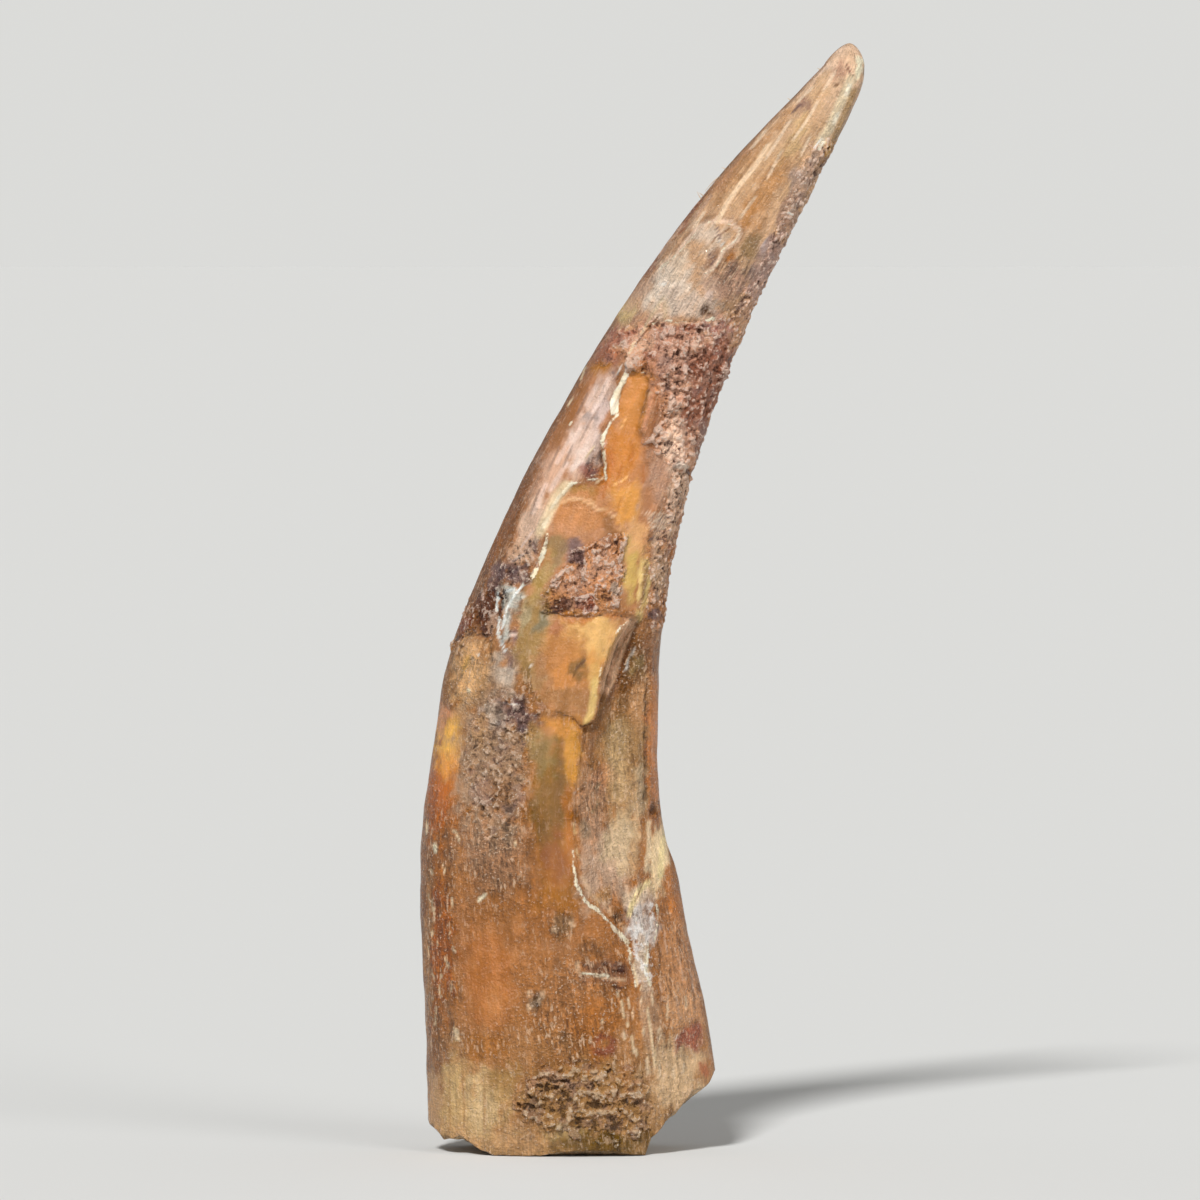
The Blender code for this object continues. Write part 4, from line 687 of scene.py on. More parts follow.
# Stains that run along lines on the scarred face, each (half width, strength, colour, lines).
FRONT_STROKES = [
    # The tip and the upper crown.
    # Painted highlight: the cream streaks down the tip's right side.
    (0.20, 0.8, (0.95, 0.87, 0.73), [
        [(10.50, 38.7), (10.26, 38.1), (10.05, 37.7)], [(9.98, 37.5), (9.70, 36.9), (9.38, 36.45)],
    ]),
    (0.09, 0.7, (1.0, 0.96, 0.87), [
        [(10.46, 38.5), (10.32, 38.15)], [(10.0, 37.4), (9.88, 37.15)], [(9.5, 36.5), (9.35, 36.2)],
    ]),
    (0.13, 0.5, (0.58, 0.43, 0.33), [
        [
            (4.22, 32.52), (4.50, 32.92), (4.88, 33.30), (5.12, 33.56), (5.60, 33.70), (6.16, 33.64),
            (6.56, 33.30), (6.50, 32.86),
        ],
        [(6.20, 32.62), (5.98, 32.46), (5.84, 32.10), (5.56, 31.76)],
    ]),
    (0.085, 0.85, (0.93, 0.80, 0.70), [
        [
            (4.26, 32.48), (4.53, 32.84), (4.89, 33.20), (5.12, 33.46), (5.57, 33.60), (6.10, 33.55),
            (6.46, 33.28),
        ],
        [
            (6.46, 33.28), (6.42, 32.93), (6.10, 32.71), (5.88, 32.53), (5.75, 32.20), (5.48, 31.85),
            (5.21, 31.63),
        ],
    ]),
    # Painted shade: the darker stroke at the tip's right edge, beside its highlight.
    (0.12, 0.7, (0.70, 0.55, 0.34), [[(10.62, 38.3), (10.30, 37.5), (9.90, 36.6), (9.62, 36.0)]]),
    # Painted highlight: the pale cream stroke from (7.5, 36.3) down to (5.7, 33.6).
    (0.10, 0.95, (0.95, 0.82, 0.68), [
        [(7.50, 36.3), (7.00, 35.5), (6.45, 34.85), (6.00, 34.2), (5.70, 33.6)],
    ]),
    (0.06, 0.7, (0.97, 0.86, 0.74), [
        [(8.30, 37.2), (7.80, 36.4), (7.40, 35.8)], [(9.1, 38.4), (8.6, 37.9)],
        [(9.3, 37.9), (8.9, 37.2), (8.4, 36.5)], [(9.9, 38.9), (9.5, 38.3)], [(8.0, 36.1), (7.5, 35.2)],
        [(7.0, 34.4), (6.5, 33.7)], [(9.0, 36.6), (8.7, 36.0)], [(7.4, 36.8), (6.9, 36.2)],
        [(5.2, 33.9), (4.8, 33.3)],
    ]),
    (0.05, 0.4, (0.64, 0.47, 0.33), [
        [(8.9, 37.4), (8.3, 36.5), (7.8, 35.7)], [(7.6, 35.5), (7.1, 34.6), (6.7, 33.9)],
        [(9.6, 38.6), (9.2, 38.0)], [(7.9, 34.9), (7.4, 34.0)], [(6.4, 35.4), (5.9, 34.7), (5.4, 34.0)],
        [(8.6, 36.0), (8.2, 35.3)],
    ]),
    (0.07, 0.8, PINK, [
        [(4.40, 33.40), (4.00, 32.95), (3.60, 32.35)], [(5.45, 34.5), (5.1, 34.0), (4.85, 33.7)],
    ]),
    (0.07, 0.5, CREAM, [
        [(3.70, 30.80), (3.30, 30.20), (2.95, 29.55)], [(2.70, 29.20), (2.50, 28.80)],
        [(3.82, 30.7), (3.80, 30.1)],
    ]),
    (0.04, 0.75, DEEP_BROWN, [
        [(3.50, 30.10), (3.00, 29.50), (2.70, 29.10)], [(6.1, 33.3), (5.6, 33.0), (5.5, 32.8)],
    ]),
    (0.05, 0.8, PURPLE, [
        [(5.65, 33.35), (5.75, 33.0)], [(5.3, 32.4), (5.6, 32.2), (5.4, 31.95)],
        [(8.4, 37.5), (8.6, 37.75), (8.9, 37.65)],
    ]),
    # Painted glints: these white dashes.
    (0.04, 0.9, WHITE, [
        [(5.75, 32.85), (5.95, 32.75)], [(8.15, 33.85), (8.35, 33.8)], [(9.15, 36.2), (9.45, 36.6)],
        [(3.6, 31.4), (3.75, 31.25)],
    ]),
    # The window and the enamel beside it.
    (0.04, 0.75, BROWN, [[(3.17, 28.1), (3.22, 27.6), (3.04, 27.0), (2.84, 26.3)]]),
    (0.10, 0.9, (0.84, 0.60, 0.46), [[(3.30, 27.8), (3.28, 27.2), (3.12, 26.5), (3.05, 26.1)]]),
    (0.09, 0.8, (0.62, 0.41, 0.28), [
        [(3.46, 27.3), (3.48, 26.7), (3.32, 26.2)], [(3.2, 25.6), (3.35, 25.45)],
    ]),
    (0.045, 0.6, (0.66, 0.38, 0.16), [
        [(1.80, 25.4), (1.90, 24.9)], [(2.52, 25.2), (2.52, 24.95)], [(2.22, 24.9), (2.10, 24.4)],
        [(3.06, 24.8), (3.0, 24.2)], [(2.15, 23.55), (2.10, 23.2)], [(1.60, 24.05), (1.55, 23.65)],
        [(2.55, 25.6), (2.62, 25.2), (2.58, 24.8)],
    ]),
    (0.06, 0.6, (0.88, 0.72, 0.54), [
        [(0.10, 23.50), (0.60, 23.60), (1.00, 23.47), (1.45, 23.26), (1.80, 23.12), (2.08, 22.88)],
    ]),
    (0.07, 0.45, (0.52, 0.34, 0.20), [
        [(0.15, 23.36), (0.70, 23.45), (1.40, 23.14), (1.95, 22.80)], [(1.55, 22.7), (1.9, 22.35)],
    ]),
    (0.04, 0.8, (0.95, 0.74, 0.48), [
        [(2.18, 26.25), (2.2, 26.15)], [(2.34, 26.42), (2.36, 26.38)], [(1.95, 24.1), (2.4, 24.35)],
    ]),
    (0.04, 0.9, CREAM, [
        [(0.75, 27.85), (0.90, 28.30)], [(0.30, 26.95), (0.42, 27.15)], [(1.3, 24.2), (1.55, 24.35)],
        [(0.95, 25.1), (1.25, 25.5)],
    ]),
    (0.05, 0.7, PURPLE, [
        [(1.85, 28.1), (1.95, 27.9)], [(0.95, 24.9), (1.15, 24.75)], [(1.05, 24.6), (1.25, 24.5)],
        [(1.15, 24.35), (1.3, 24.3)],
    ]),
    (0.04, 0.8, WHITE, [[(2.05, 28.05), (2.2, 28.35)], [(2.34, 28.05), (2.46, 28.5)]]),
    # The broken enamel below the window.
    (0.05, 0.95, (0.95, 0.96, 0.94), [
        [(-1.32, 20.52), (-1.65, 20.12), (-1.92, 19.62), (-2.05, 19.0)], [(-2.25, 20.15), (-2.27, 19.55)],
        [(-2.20, 19.3), (-2.20, 18.65), (-1.98, 18.15)], [(-1.95, 20.25), (-1.6, 20.35)],
    ]),
    (0.22, 0.8, (0.90, 0.81, 0.66), [[(0.20, 24.05), (-0.15, 23.60), (-0.42, 23.00), (-0.68, 22.45)]]),
    (0.06, 0.7, (0.96, 0.91, 0.80), [[(0.02, 23.75), (-0.30, 23.25)], [(-0.40, 22.95), (-0.62, 22.55)]]),
    # Painted sheen: pale streaks up the enamel beside the window.
    (0.10, 0.30, (0.95, 0.87, 0.83), [
        [(1.75, 27.9), (1.45, 27.2), (1.2, 26.7)], [(1.3, 27.6), (0.95, 26.9)], [(1.15, 26.0), (0.85, 25.3)],
        [(0.75, 26.2), (0.3, 25.3)], [(1.35, 26.0), (1.2, 25.6)], [(0.45, 25.9), (-0.1, 24.9)],
        [(0.2, 24.8), (-0.35, 23.9)], [(-0.5, 24.1), (-0.95, 23.1)],
    ]),
    (0.045, 0.6, (0.52, 0.42, 0.37), [
        [(1.42, 26.9), (1.05, 26.3), (0.75, 25.7)], [(1.0, 27.4), (0.6, 26.6)], [(1.25, 25.4), (0.95, 25.1)],
        [(0.45, 25.5), (0.15, 24.8)], [(0.0, 25.5), (-0.4, 24.6)], [(-0.75, 23.9), (-1.1, 22.9)],
    ]),
    (0.035, 0.9, DARK, [
        [(-2.13, 20.05), (-2.10, 19.60)], [(-1.93, 20.15), (-1.90, 19.90)], [(-1.80, 18.95), (-1.85, 18.5)],
    ]),
    (0.07, 0.8, PURPLE, [
        [(-1.2, 21.2), (-1.8, 20.9), (-2.3, 20.6)], [(-1.7, 18.9), (-1.6, 18.6)],
        [(-0.95, 22.0), (-0.8, 21.6)],
    ]),
    (0.05, 0.85, LILAC, [
        [(-1.35, 21.9), (-1.0, 22.4)], [(-1.75, 21.3), (-1.3, 21.6)], [(-2.8, 20.3), (-2.75, 20.0)],
        [(-1.9, 18.75), (-1.6, 18.7)],
    ]),
    (0.10, 0.9, (0.60, 0.45, 0.32), [[(3.08, 21.9), (3.05, 20.7), (2.85, 19.6)]]),
    (0.05, 0.7, (0.90, 0.80, 0.70), [
        [(3.1, 23.05), (3.5, 23.08), (3.9, 22.98)], [(3.15, 22.82), (3.9, 22.78)],
        [(3.2, 22.6), (3.8, 22.56)],
    ]),
    (0.025, 0.85, PURPLE, [
        [(3.2, 22.95), (3.9, 22.88)], [(3.3, 22.75), (4.0, 22.72)], [(3.3, 22.45), (3.9, 22.40)],
        [(3.2, 22.15), (3.8, 22.1)],
    ]),
    # Painted light: the bevel beside the slab's edge is painted pale, for light that its slope, turned from the
    # lamps, does not catch.
    (0.26, 0.9, (0.93, 0.76, 0.62), [[(2.58, 19.05), (2.20, 18.35), (1.92, 17.6), (1.70, 16.8)]]),
    # Painted shade: the dark along the groove.
    (0.08, 0.85, (0.38, 0.25, 0.17), [
        [(2.80, 19.10), (2.58, 18.53), (2.29, 17.81), (2.08, 17.02), (1.70, 16.34)],
    ]),
    (0.04, 0.8, BROWN, [[(2.5, 18.8), (2.2, 18.2), (1.95, 17.5)]]),
    (0.05, 0.8, (0.36, 0.26, 0.17), [
        [(0.50, 17.2), (0.60, 17.55), (0.86, 17.75)], [(-3.55, 17.25), (-3.50, 17.20)],
        [(-3.2, 17.85), (-3.15, 17.8)], [(-3.75, 16.6), (-3.7, 16.5)], [(-2.85, 16.7), (-2.8, 16.65)],
        [(-3.6, 18.3), (-3.5, 18.25)],
    ]),
    # Painted glints: these white dashes.
    (0.04, 0.9, WHITE, [
        [(2.45, 17.75), (2.38, 17.4)], [(2.65, 18.2), (2.58, 17.95)], [(-1.05, 17.65), (-1.02, 17.55)],
        [(-2.98, 18.05), (-2.9, 17.95)],
    ]),
    # The scar.
    (0.14, 0.9, (0.85, 0.72, 0.46), [[(1.28, 17.1), (1.20, 16.5), (1.12, 15.9), (0.98, 15.65)]]),
    (0.13, 0.6, (0.56, 0.41, 0.31), [[(2.05, 16.9), (1.6, 16.0), (1.22, 15.3), (1.05, 14.4)]]),
    (0.42, 0.45, (0.80, 0.69, 0.52), [[(2.10, 15.2), (2.05, 14.2), (2.15, 13.0)]]),
    (0.12, 1.0, (0.97, 0.87, 0.65), [
        [(3.72, 11.3), (3.66, 10.7), (3.62, 10.0)], [(3.2, 9.8), (2.85, 9.5), (2.62, 9.1), (2.52, 8.7)],
    ]),
    (0.10, 0.7, CREAM, [[(3.20, 11.9), (3.20, 11.0), (3.10, 10.2)]]),
    (0.03, 0.8, BROWN, [
        [(2.95, 12.0), (2.92, 11.0), (2.7, 10.1)], [(3.32, 16.5), (3.26, 14.8)], [(3.02, 9.9), (2.75, 9.2)],
    ]),
    (0.09, 0.6, (0.88, 0.74, 0.60), [[(0.78, 10.0), (1.10, 9.42), (1.56, 9.02), (2.05, 8.52), (2.36, 8.1)]]),
    (0.05, 0.9, PALE_TAN, [
        [(1.15, 12.4), (1.2, 12.3)], [(0.5, 11.9), (0.55, 11.6)], [(1.35, 12.65), (1.32, 12.55)],
        [(0.6, 11.0), (0.7, 10.8)],
    ]),
    # The left side and the root.
    # Painted glints: these ivory dashes.
    (0.07, 0.95, IVORY, [
        [(-4.53, 11.15), (-4.47, 10.90)], [(-2.92, 9.20), (-2.72, 9.35)], [(-3.30, 16.68), (-3.26, 16.6)],
    ]),
    (0.035, 0.9, CREAM, [
        [(-4.78, 12.0), (-4.82, 11.5)], [(-4.75, 9.3), (-4.6, 8.9), (-4.5, 8.4)],
        [(-4.74, 7.4), (-4.70, 7.1)], [(-4.45, 7.7), (-4.4, 7.55)], [(-3.80, 11.7), (-3.60, 11.3)],
        [(-3.9, 9.3), (-3.85, 9.0)], [(-3.9, 7.5), (-3.8, 7.3)], [(-4.35, 6.0), (-4.3, 5.6)],
        [(-4.1, 7.1), (-4.05, 6.7)], [(-1.6, 11.3), (-1.55, 11.1)], [(-3.85, 4.5), (-3.62, 4.35)],
        [(-4.5, 5.2), (-4.5, 4.6)], [(-4.62, 8.0), (-4.60, 7.85)], [(-4.3, 8.9), (-4.28, 8.6)],
        [(-4.05, 8.2), (-4.0, 7.9)], [(-4.6, 6.5), (-4.55, 6.2)], [(-4.2, 10.4), (-4.15, 10.1)],
        [(-4.65, 10.2), (-4.62, 10.0)], [(-3.95, 6.2), (-3.93, 5.9)], [(-4.3, 6.5), (-4.28, 6.3)],
    ]),
    (0.04, 0.9, CREAM, [
        [(2.56, 7.3), (2.68, 6.5), (2.9, 6.0)], [(3.10, 7.4), (3.12, 6.7), (3.22, 6.2)],
        [(2.85, 9.3), (2.62, 8.7)],
    ]),
    (0.05, 0.8, CREAM, [
        [(2.20, 5.6), (2.35, 5.0), (2.42, 4.7)], [(2.62, 4.3), (2.75, 3.6)],
        [(3.12, 5.3), (3.25, 4.6), (3.38, 3.8), (3.45, 3.2)],
    ]),
    (0.035, 0.9, WHITE, [
        [(2.70, 8.9), (2.75, 8.2), (2.70, 7.6)], [(3.25, 9.0), (3.30, 8.4), (3.20, 7.8)],
        [(4.1, 4.15), (4.2, 4.15)],
    ]),
    (0.035, 0.85, (0.95, 0.84, 0.70), [
        [(2.05, 5.9), (2.12, 5.6)], [(2.45, 5.7), (2.50, 5.3)], [(2.60, 5.2), (2.62, 4.9)],
        [(2.28, 4.5), (2.35, 4.2)], [(2.9, 5.6), (2.95, 5.1)], [(2.95, 4.7), (3.05, 4.2)],
        [(3.3, 5.9), (3.35, 5.4)], [(3.55, 4.6), (3.6, 4.1)], [(3.85, 5.4), (3.9, 4.9)],
        [(3.1, 3.4), (3.15, 2.9)], [(3.6, 3.3), (3.65, 2.7)], [(4.1, 3.2), (4.1, 2.6)],
        [(4.5, 5.6), (4.55, 5.2)], [(4.4, 3.3), (4.45, 2.9)], [(1.5, 4.9), (1.5, 4.6)],
    ]),
    (0.035, 0.7, (0.50, 0.34, 0.22), [
        [(3.5, 7.8), (3.6, 6.6)], [(3.95, 6.6), (4.0, 5.6)], [(4.2, 8.0), (4.4, 6.9)],
        [(3.35, 4.9), (3.5, 3.6)], [(2.75, 6.0), (2.85, 4.9)], [(3.75, 5.0), (3.85, 3.8)],
        [(4.75, 6.0), (4.85, 5.2)],
    ]),
    (0.04, 0.8, PINK, [
        [(3.8, 8.0), (3.85, 7.2)], [(4.3, 7.0), (4.45, 6.2)], [(4.2, 5.6), (4.35, 4.8)],
        [(3.6, 6.2), (3.7, 5.6)], [(4.7, 6.6), (4.8, 5.8)],
    ]),
    (0.07, 0.8, DARK, [
        [(1.95, 6.68), (2.3, 6.62)], [(1.2, 6.78), (1.4, 6.75)], [(1.55, 6.92), (1.75, 6.85)],
        [(1.9, 6.15), (2.2, 6.05)], [(1.9, 8.55), (2.2, 8.45)], [(-0.92, 5.82), (-0.90, 5.70)],
        [(-0.78, 5.47), (-0.76, 5.35)],
    ]),
    (0.065, 0.75, (0.93, 0.78, 0.63), [
        [(0.60, 7.00), (0.66, 6.62), (1.20, 6.52), (1.90, 6.38), (2.35, 6.32)],
        [(-1.15, 5.95), (-1.05, 5.80)], [(-1.18, 5.45), (-1.10, 5.30)], [(-0.62, 5.9), (-0.60, 5.75)],
        [(0.35, 8.45), (0.5, 8.3)], [(-0.3, 8.2), (-0.2, 8.05)],
    ]),
    (0.05, 0.7, (0.66, 0.50, 0.33), [
        [(-4.0, 2.8), (-3.95, 0.9)], [(-3.5, 3.2), (-3.45, 1.2)], [(-2.7, 2.6), (-2.7, 0.8)],
        [(-2.1, 1.9), (-2.05, 0.9)],
    ]),
]

# Stains on the other face, likewise.
BACK_STAINS = [
    (-2.4, 1.4, 2.6, 1.9, 0, 0.9, PALE_TAN), (3.5, 2.2, 1.9, 1.8, 0, 0.9, (0.60, 0.47, 0.35)),
    (0.3, 2.6, 1.8, 1.5, 0, 0.7, TAN), (-1.9, 6.2, 1.5, 3.4, 0, 0.8, (0.76, 0.60, 0.46)),
    (-1.4, 8.6, 1.0, 1.3, 0, 0.6, (0.84, 0.70, 0.55)), (1.6, 7.5, 1.4, 3.6, 0, 0.7, (0.72, 0.46, 0.27)),
    (3.5, 8.0, 0.9, 4.2, -5, 0.7, (0.55, 0.38, 0.27)), (-4.2, 9.5, 0.8, 3.4, 0, 0.8, (0.62, 0.42, 0.28)),
    (-3.5, 13.8, 1.2, 2.8, 5, 0.7, (0.78, 0.58, 0.36)), (-2.0, 12.2, 1.4, 2.6, 0, 0.6, (0.70, 0.54, 0.41)),
    (-0.2, 13.2, 1.2, 3.0, 5, 0.6, (0.63, 0.46, 0.27)), (2.4, 13.4, 1.2, 2.6, 0, 0.6, (0.76, 0.55, 0.41)),
    (1.0, 18.2, 1.5, 2.6, 5, 0.9, (0.80, 0.56, 0.33)), (1.6, 21.8, 1.3, 2.6, 20, 0.9, (0.83, 0.58, 0.34)),
    (3.0, 26.0, 1.0, 3.0, 25, 0.9, (0.84, 0.62, 0.38)), (-2.6, 18.0, 1.2, 3.0, 15, 0.6, (0.54, 0.42, 0.37)),
    (-1.2, 21.8, 0.9, 3.2, 22, 0.7, (0.76, 0.60, 0.49)), (0.8, 25.4, 0.9, 3.0, 25, 0.75, (0.82, 0.69, 0.61)),
    (2.4, 28.4, 1.2, 1.2, 30, 0.8, (0.66, 0.46, 0.35)), (5.2, 28.0, 1.0, 3.0, 22, 0.9, (0.66, 0.51, 0.44)),
    (3.9, 23.2, 0.8, 2.8, 15, 0.8, (0.62, 0.48, 0.40)), (5.3, 31.6, 1.3, 1.4, 30, 0.8, (0.82, 0.71, 0.61)),
    (7.0, 34.6, 0.7, 2.6, 34, 0.7, (0.77, 0.58, 0.41)), (9.2, 37.6, 0.6, 2.0, 32, 0.8, (0.92, 0.80, 0.66)),
]
BACK_STROKES = [
    (0.10, 0.6, CREAM, [[(8.6, 37.4), (7.4, 35.6), (6.3, 33.8)]]),
    (0.06, 0.6, DEEP_BROWN, [
        [(2.4, 14.5), (2.7, 11.0), (2.5, 7.5), (2.8, 4.6)], [(-3.4, 11.5), (-2.9, 15.0), (-2.0, 18.5)],
    ]),
    (0.05, 0.6, LILAC, [
        [(-0.9, 10.2), (-0.6, 12.6)], [(0.4, 5.0), (0.6, 7.8)], [(3.9, 6.0), (3.6, 8.6)],
        [(-2.6, 10.6), (-2.4, 12.2)],
    ]),
]

# How rough each part of the scarred face is, each as a stain whose last value runs from 0, smooth, to 1.
PLAIN_ROUGHNESS = 0.48
ROUGHNESS_STAINS = [
    (-2.5, 6.4, 1.2, 2.5, 0, 1.0, 0.12), (-4.4, 8.0, 0.7, 5.5, 0, 1.0, 1.0),
    (0.6, 5.0, 1.8, 2.4, 0, 0.9, 0.95), (4.1, 6.0, 0.9, 3.6, -8, 0.9, 0.75),
    (-3.2, 1.8, 1.7, 1.6, 0, 0.9, 0.30), (-0.1, 10.8, 0.7, 1.8, 0, 0.9, 0.25),
    (-0.4, 13.8, 0.7, 2.0, 0, 0.9, 0.12), (-4.0, 14.0, 0.6, 2.2, 0, 1.0, 0.15),
    (-2.2, 10.6, 1.2, 1.5, 0, 1.0, 1.0), (1.2, 12.6, 0.6, 1.7, 0, 1.0, 1.0),
    (2.0, 10.5, 0.8, 1.3, 0, 0.9, 0.55), (2.8, 17.8, 0.7, 1.4, 15, 0.9, 1.0),
    (-0.9, 18.8, 0.6, 1.6, 8, 0.9, 0.15), (-2.0, 17.4, 0.5, 0.8, 10, 0.9, 0.30),
    (-1.7, 22.8, 0.5, 2.0, 20, 0.9, 0.45), (0.9, 26.0, 0.5, 1.6, 20, 0.9, 0.25),
    (3.7, 24.4, 0.5, 0.9, 8, 0.9, 0.25), (3.9, 31.2, 1.2, 1.8, 30, 0.9, 0.60),
    (2.3, 14.8, 0.9, 2.8, 3, 0.9, 0.60), (7.6, 35.6, 1.7, 5.5, 35, 0.9, 0.30),
    (-3.3, 17.3, 0.9, 1.4, 0, 1.0, 1.0), (0.5, 25.6, 0.9, 3.4, 22, 0.95, 0.08),
    (1.2, 24.7, 0.4, 0.4, 0, 0.9, 1.0), (6.2, 31.4, 0.7, 0.8, 25, 0.9, 1.0),
    (1.6, 6.6, 1.0, 0.5, 0, 0.9, 1.0), (0.1, 8.3, 0.6, 0.5, 0, 0.9, 0.9), (0.2, 16.6, 0.8, 0.7, 0, 0.7, 0.9),
    (-1.6, 21.3, 0.7, 0.6, 20, 0.9, 1.0),
]


def linear(colour):
    """A screen colour as the amounts of light that it stands for."""
    colour = np.array(colour, float)
    return np.where(colour <= 0.04045, colour / 12.92, ((colour + 0.055) / 1.055) ** 2.4)


STAIN_EDGE = (1.2, 0.5)  # where a stain ends and where it is full, in its own half widths from its middle
STROKE_EDGE = (1.3, 0.4)


def blotch(x, z, stain, uneven):
    """How strongly a stain covers each place: full at its middle, none past its edge."""
    at_x, at_z, half_width, half_height, lean, strength, _colour = stain
    turn = math.radians(lean)
    across = (x - at_x) * math.cos(turn) - (z - at_z) * math.sin(turn)
    along = (x - at_x) * math.sin(turn) + (z - at_z) * math.cos(turn)
    return strength * ramp(np.hypot(across / half_width, along / half_height) + uneven, *STAIN_EDGE)


def stroke(x, z, strokes, uneven):
    """The same for strokes: stains along lines."""
    half_width, strength, _colour, lines = strokes
    distance = np.min([distance_to_line(x, z, points) for points in lines], axis=0)
    return strength * ramp(distance / half_width + uneven, *STROKE_EDGE)


def surface_colour(seen):
    """The surface's own colour, which shows as the seen one once the sheen of its gloss lies on it."""
    return np.maximum(seen - SHEEN, 0.004) * EXPOSURE


def covered(colour, cover, other):
    """A colour a place, covered by another as far as a number a place says."""
    return colour * (1 - cover[..., None]) + other * cover[..., None]


def front_share(angle):
    """How far each place belongs to the scarred face."""
    return ramp(-np.sin(angle), -0.25, 0.1)


def paint(x, y, z, angle):
    """The broad colour of each place."""
    heights, colours = zip(*BODY_COLOURS)
    levels = linear(colours)
    centre, half = section(z)[:2]
    along_grain = (x - centre) * np.sqrt(ROOT_HALF / half)
    flow = lumps(along_grain, 0.0 * x, z, np.array((0.42, 1.0, 2.6)), 84.0, octaves=2)
    fine = lumps(x, y, z, 0.36, 85.0, octaves=2)
    uneven = 0.32 * fine + 0.17 * flow
    level = z + 1.2 * lumps(x, y, z, 2.6, 81.0)
    colour = np.stack([np.interp(level, heights, levels[:, channel]) for channel in range(3)], axis=-1)
    share = np.where(np.cos(angle) < 0, CONVEX_SHARE, CONCAVE_SHARE)
    # Painted shade: the two edges are darkened towards the brown above.
    colour = covered(colour, ramp(np.abs(np.cos(angle)) + 0.05 * fine, 0.80, 0.99) * share, linear(FLANK_SHADE))
    warp_x = x + 0.16 * lumps(x, y, z, 0.7, 82.0, octaves=4)
    warp_z = z + 0.26 * lumps(x, y, z, 0.7, 83.0, octaves=4)
    near_x, near_z = x + 0.04 * fine, z + 0.06 * fine
    faces = [
        (front_share(angle), FRONT_STAINS, FRONT_STROKES),
        (ramp(np.sin(angle), -0.1, 0.25), BACK_STAINS, BACK_STROKES),
    ]
    for facing, stains, stroke_sets in faces:
        for stain in stains:
            colour = covered(colour, blotch(warp_x, warp_z, stain, uneven) * facing, linear(stain[-1]))
        for strokes in stroke_sets:
            cover = stroke(near_x, near_z, strokes, 0.3 * uneven) * facing
            colour = covered(colour, cover, linear(strokes[2]))
    return surface_colour(colour * (1 + 0.07 * fine + 0.12 * flow)[..., None])


def roughness_at(x, y, z, angle):
    """How rough each place is, from 0 to 1. The back's two edges are worn."""
    front = front_share(angle)
    rough = PLAIN_ROUGHNESS + 0.25 * lumps(x, y, z, 2.2, 91.0)
    warp = 0.25 * lumps(x, y, z, 0.9, 92.0)
    for stain in ROUGHNESS_STAINS:
        cover = blotch(x + warp, z + warp, stain, warp) * front
        rough = rough * (1 - cover) + stain[-1] * cover
    rough = rough + 0.6 * ramp(np.abs(np.cos(angle)), 0.70, 0.88) * (1 - front)
    return np.clip(rough, 0.0, 1.0)


def paint_break(x, y, z):
    """The break: pale dentine round a pulp cavity filled with brown sediment."""
    across = np.hypot((x - 0.4) / 5.0, y / 2.9)
    mottle = lumps(x, y, z, 0.5, 95.0, octaves=4)
    speck = lumps(x, y, z, 0.18, 96.0)
    colour = np.broadcast_to(linear((0.76, 0.62, 0.45)), (*np.shape(x), 3))
    colour = covered(colour, ramp(across + 0.18 * mottle, 0.50, 0.36), linear((0.46, 0.34, 0.24)))
    colour = covered(colour, ramp(np.abs(across + 0.10 * mottle - 0.72), 0.05, 0.0) * 0.6, linear(BROWN))
    colour = covered(colour, ramp(speck, 0.35, 0.6) * 0.6, linear(CREAM))
    return surface_colour(colour * (1 + 0.20 * mottle + 0.15 * speck)[..., None])


# --- The tooth's mesh ---

# The bake map: its name and margin, how wide the side lies on it, and the break's middle and scale beside it.
BAKE_MAP, MARGIN, SIDE_SHARE = "OFBake", 0.01, 0.77
BREAK_U, BREAK_V, BREAK_SCALE = 0.895, 0.15, 0.017
SHADED_MARKS = ["window", "slab", "panel", "scar", "calcite", "patch", "crust", "pale", "dark"]


def column_angles():
    """Angles round the section, crowded on the scarred face. The seam runs up the middle of the back."""
    even = np.linspace(0.0, 2 * math.pi, COLUMNS, endpoint=False) + math.pi / 2
    return even - FRONT_CROWDING * np.cos(even)


def tooth_grid():
    """Points of the tooth: from the middle of the break, over its rim and up the side to below the tip."""
    angle = column_angles()
    rim = np.zeros(COLUMNS)
    for _ in range(RIM_ROUNDS):
        points, _marks = side_points(rim, angle)
        rim = break_height(points[:, 0], points[:, 1])
    cap_start = HEIGHT - CAP_HEIGHT
    share = (np.arange(SIDE_RINGS) / SIDE_RINGS) ** ROOT_CROWDING
    side_heights = rim + (cap_start - rim) * share[:, None]
    cap_share = np.sin(np.arange(CAP_RINGS) / CAP_RINGS * math.pi / 2)
    cap_heights = np.repeat(cap_start + CAP_HEIGHT * cap_share[:, None], COLUMNS, axis=1)
    heights = np.concatenate([side_heights, cap_heights])
    angles = np.broadcast_to(angle, heights.shape)
    side, marks = side_points(heights, angles)

    inward = (np.arange(1, UNDER_RINGS + 1) / (UNDER_RINGS + 1))[:, None, None]
    under = side[0] * inward
    under[..., 2] = break_height(under[..., 0], under[..., 1])
    return under, side, marks, angles


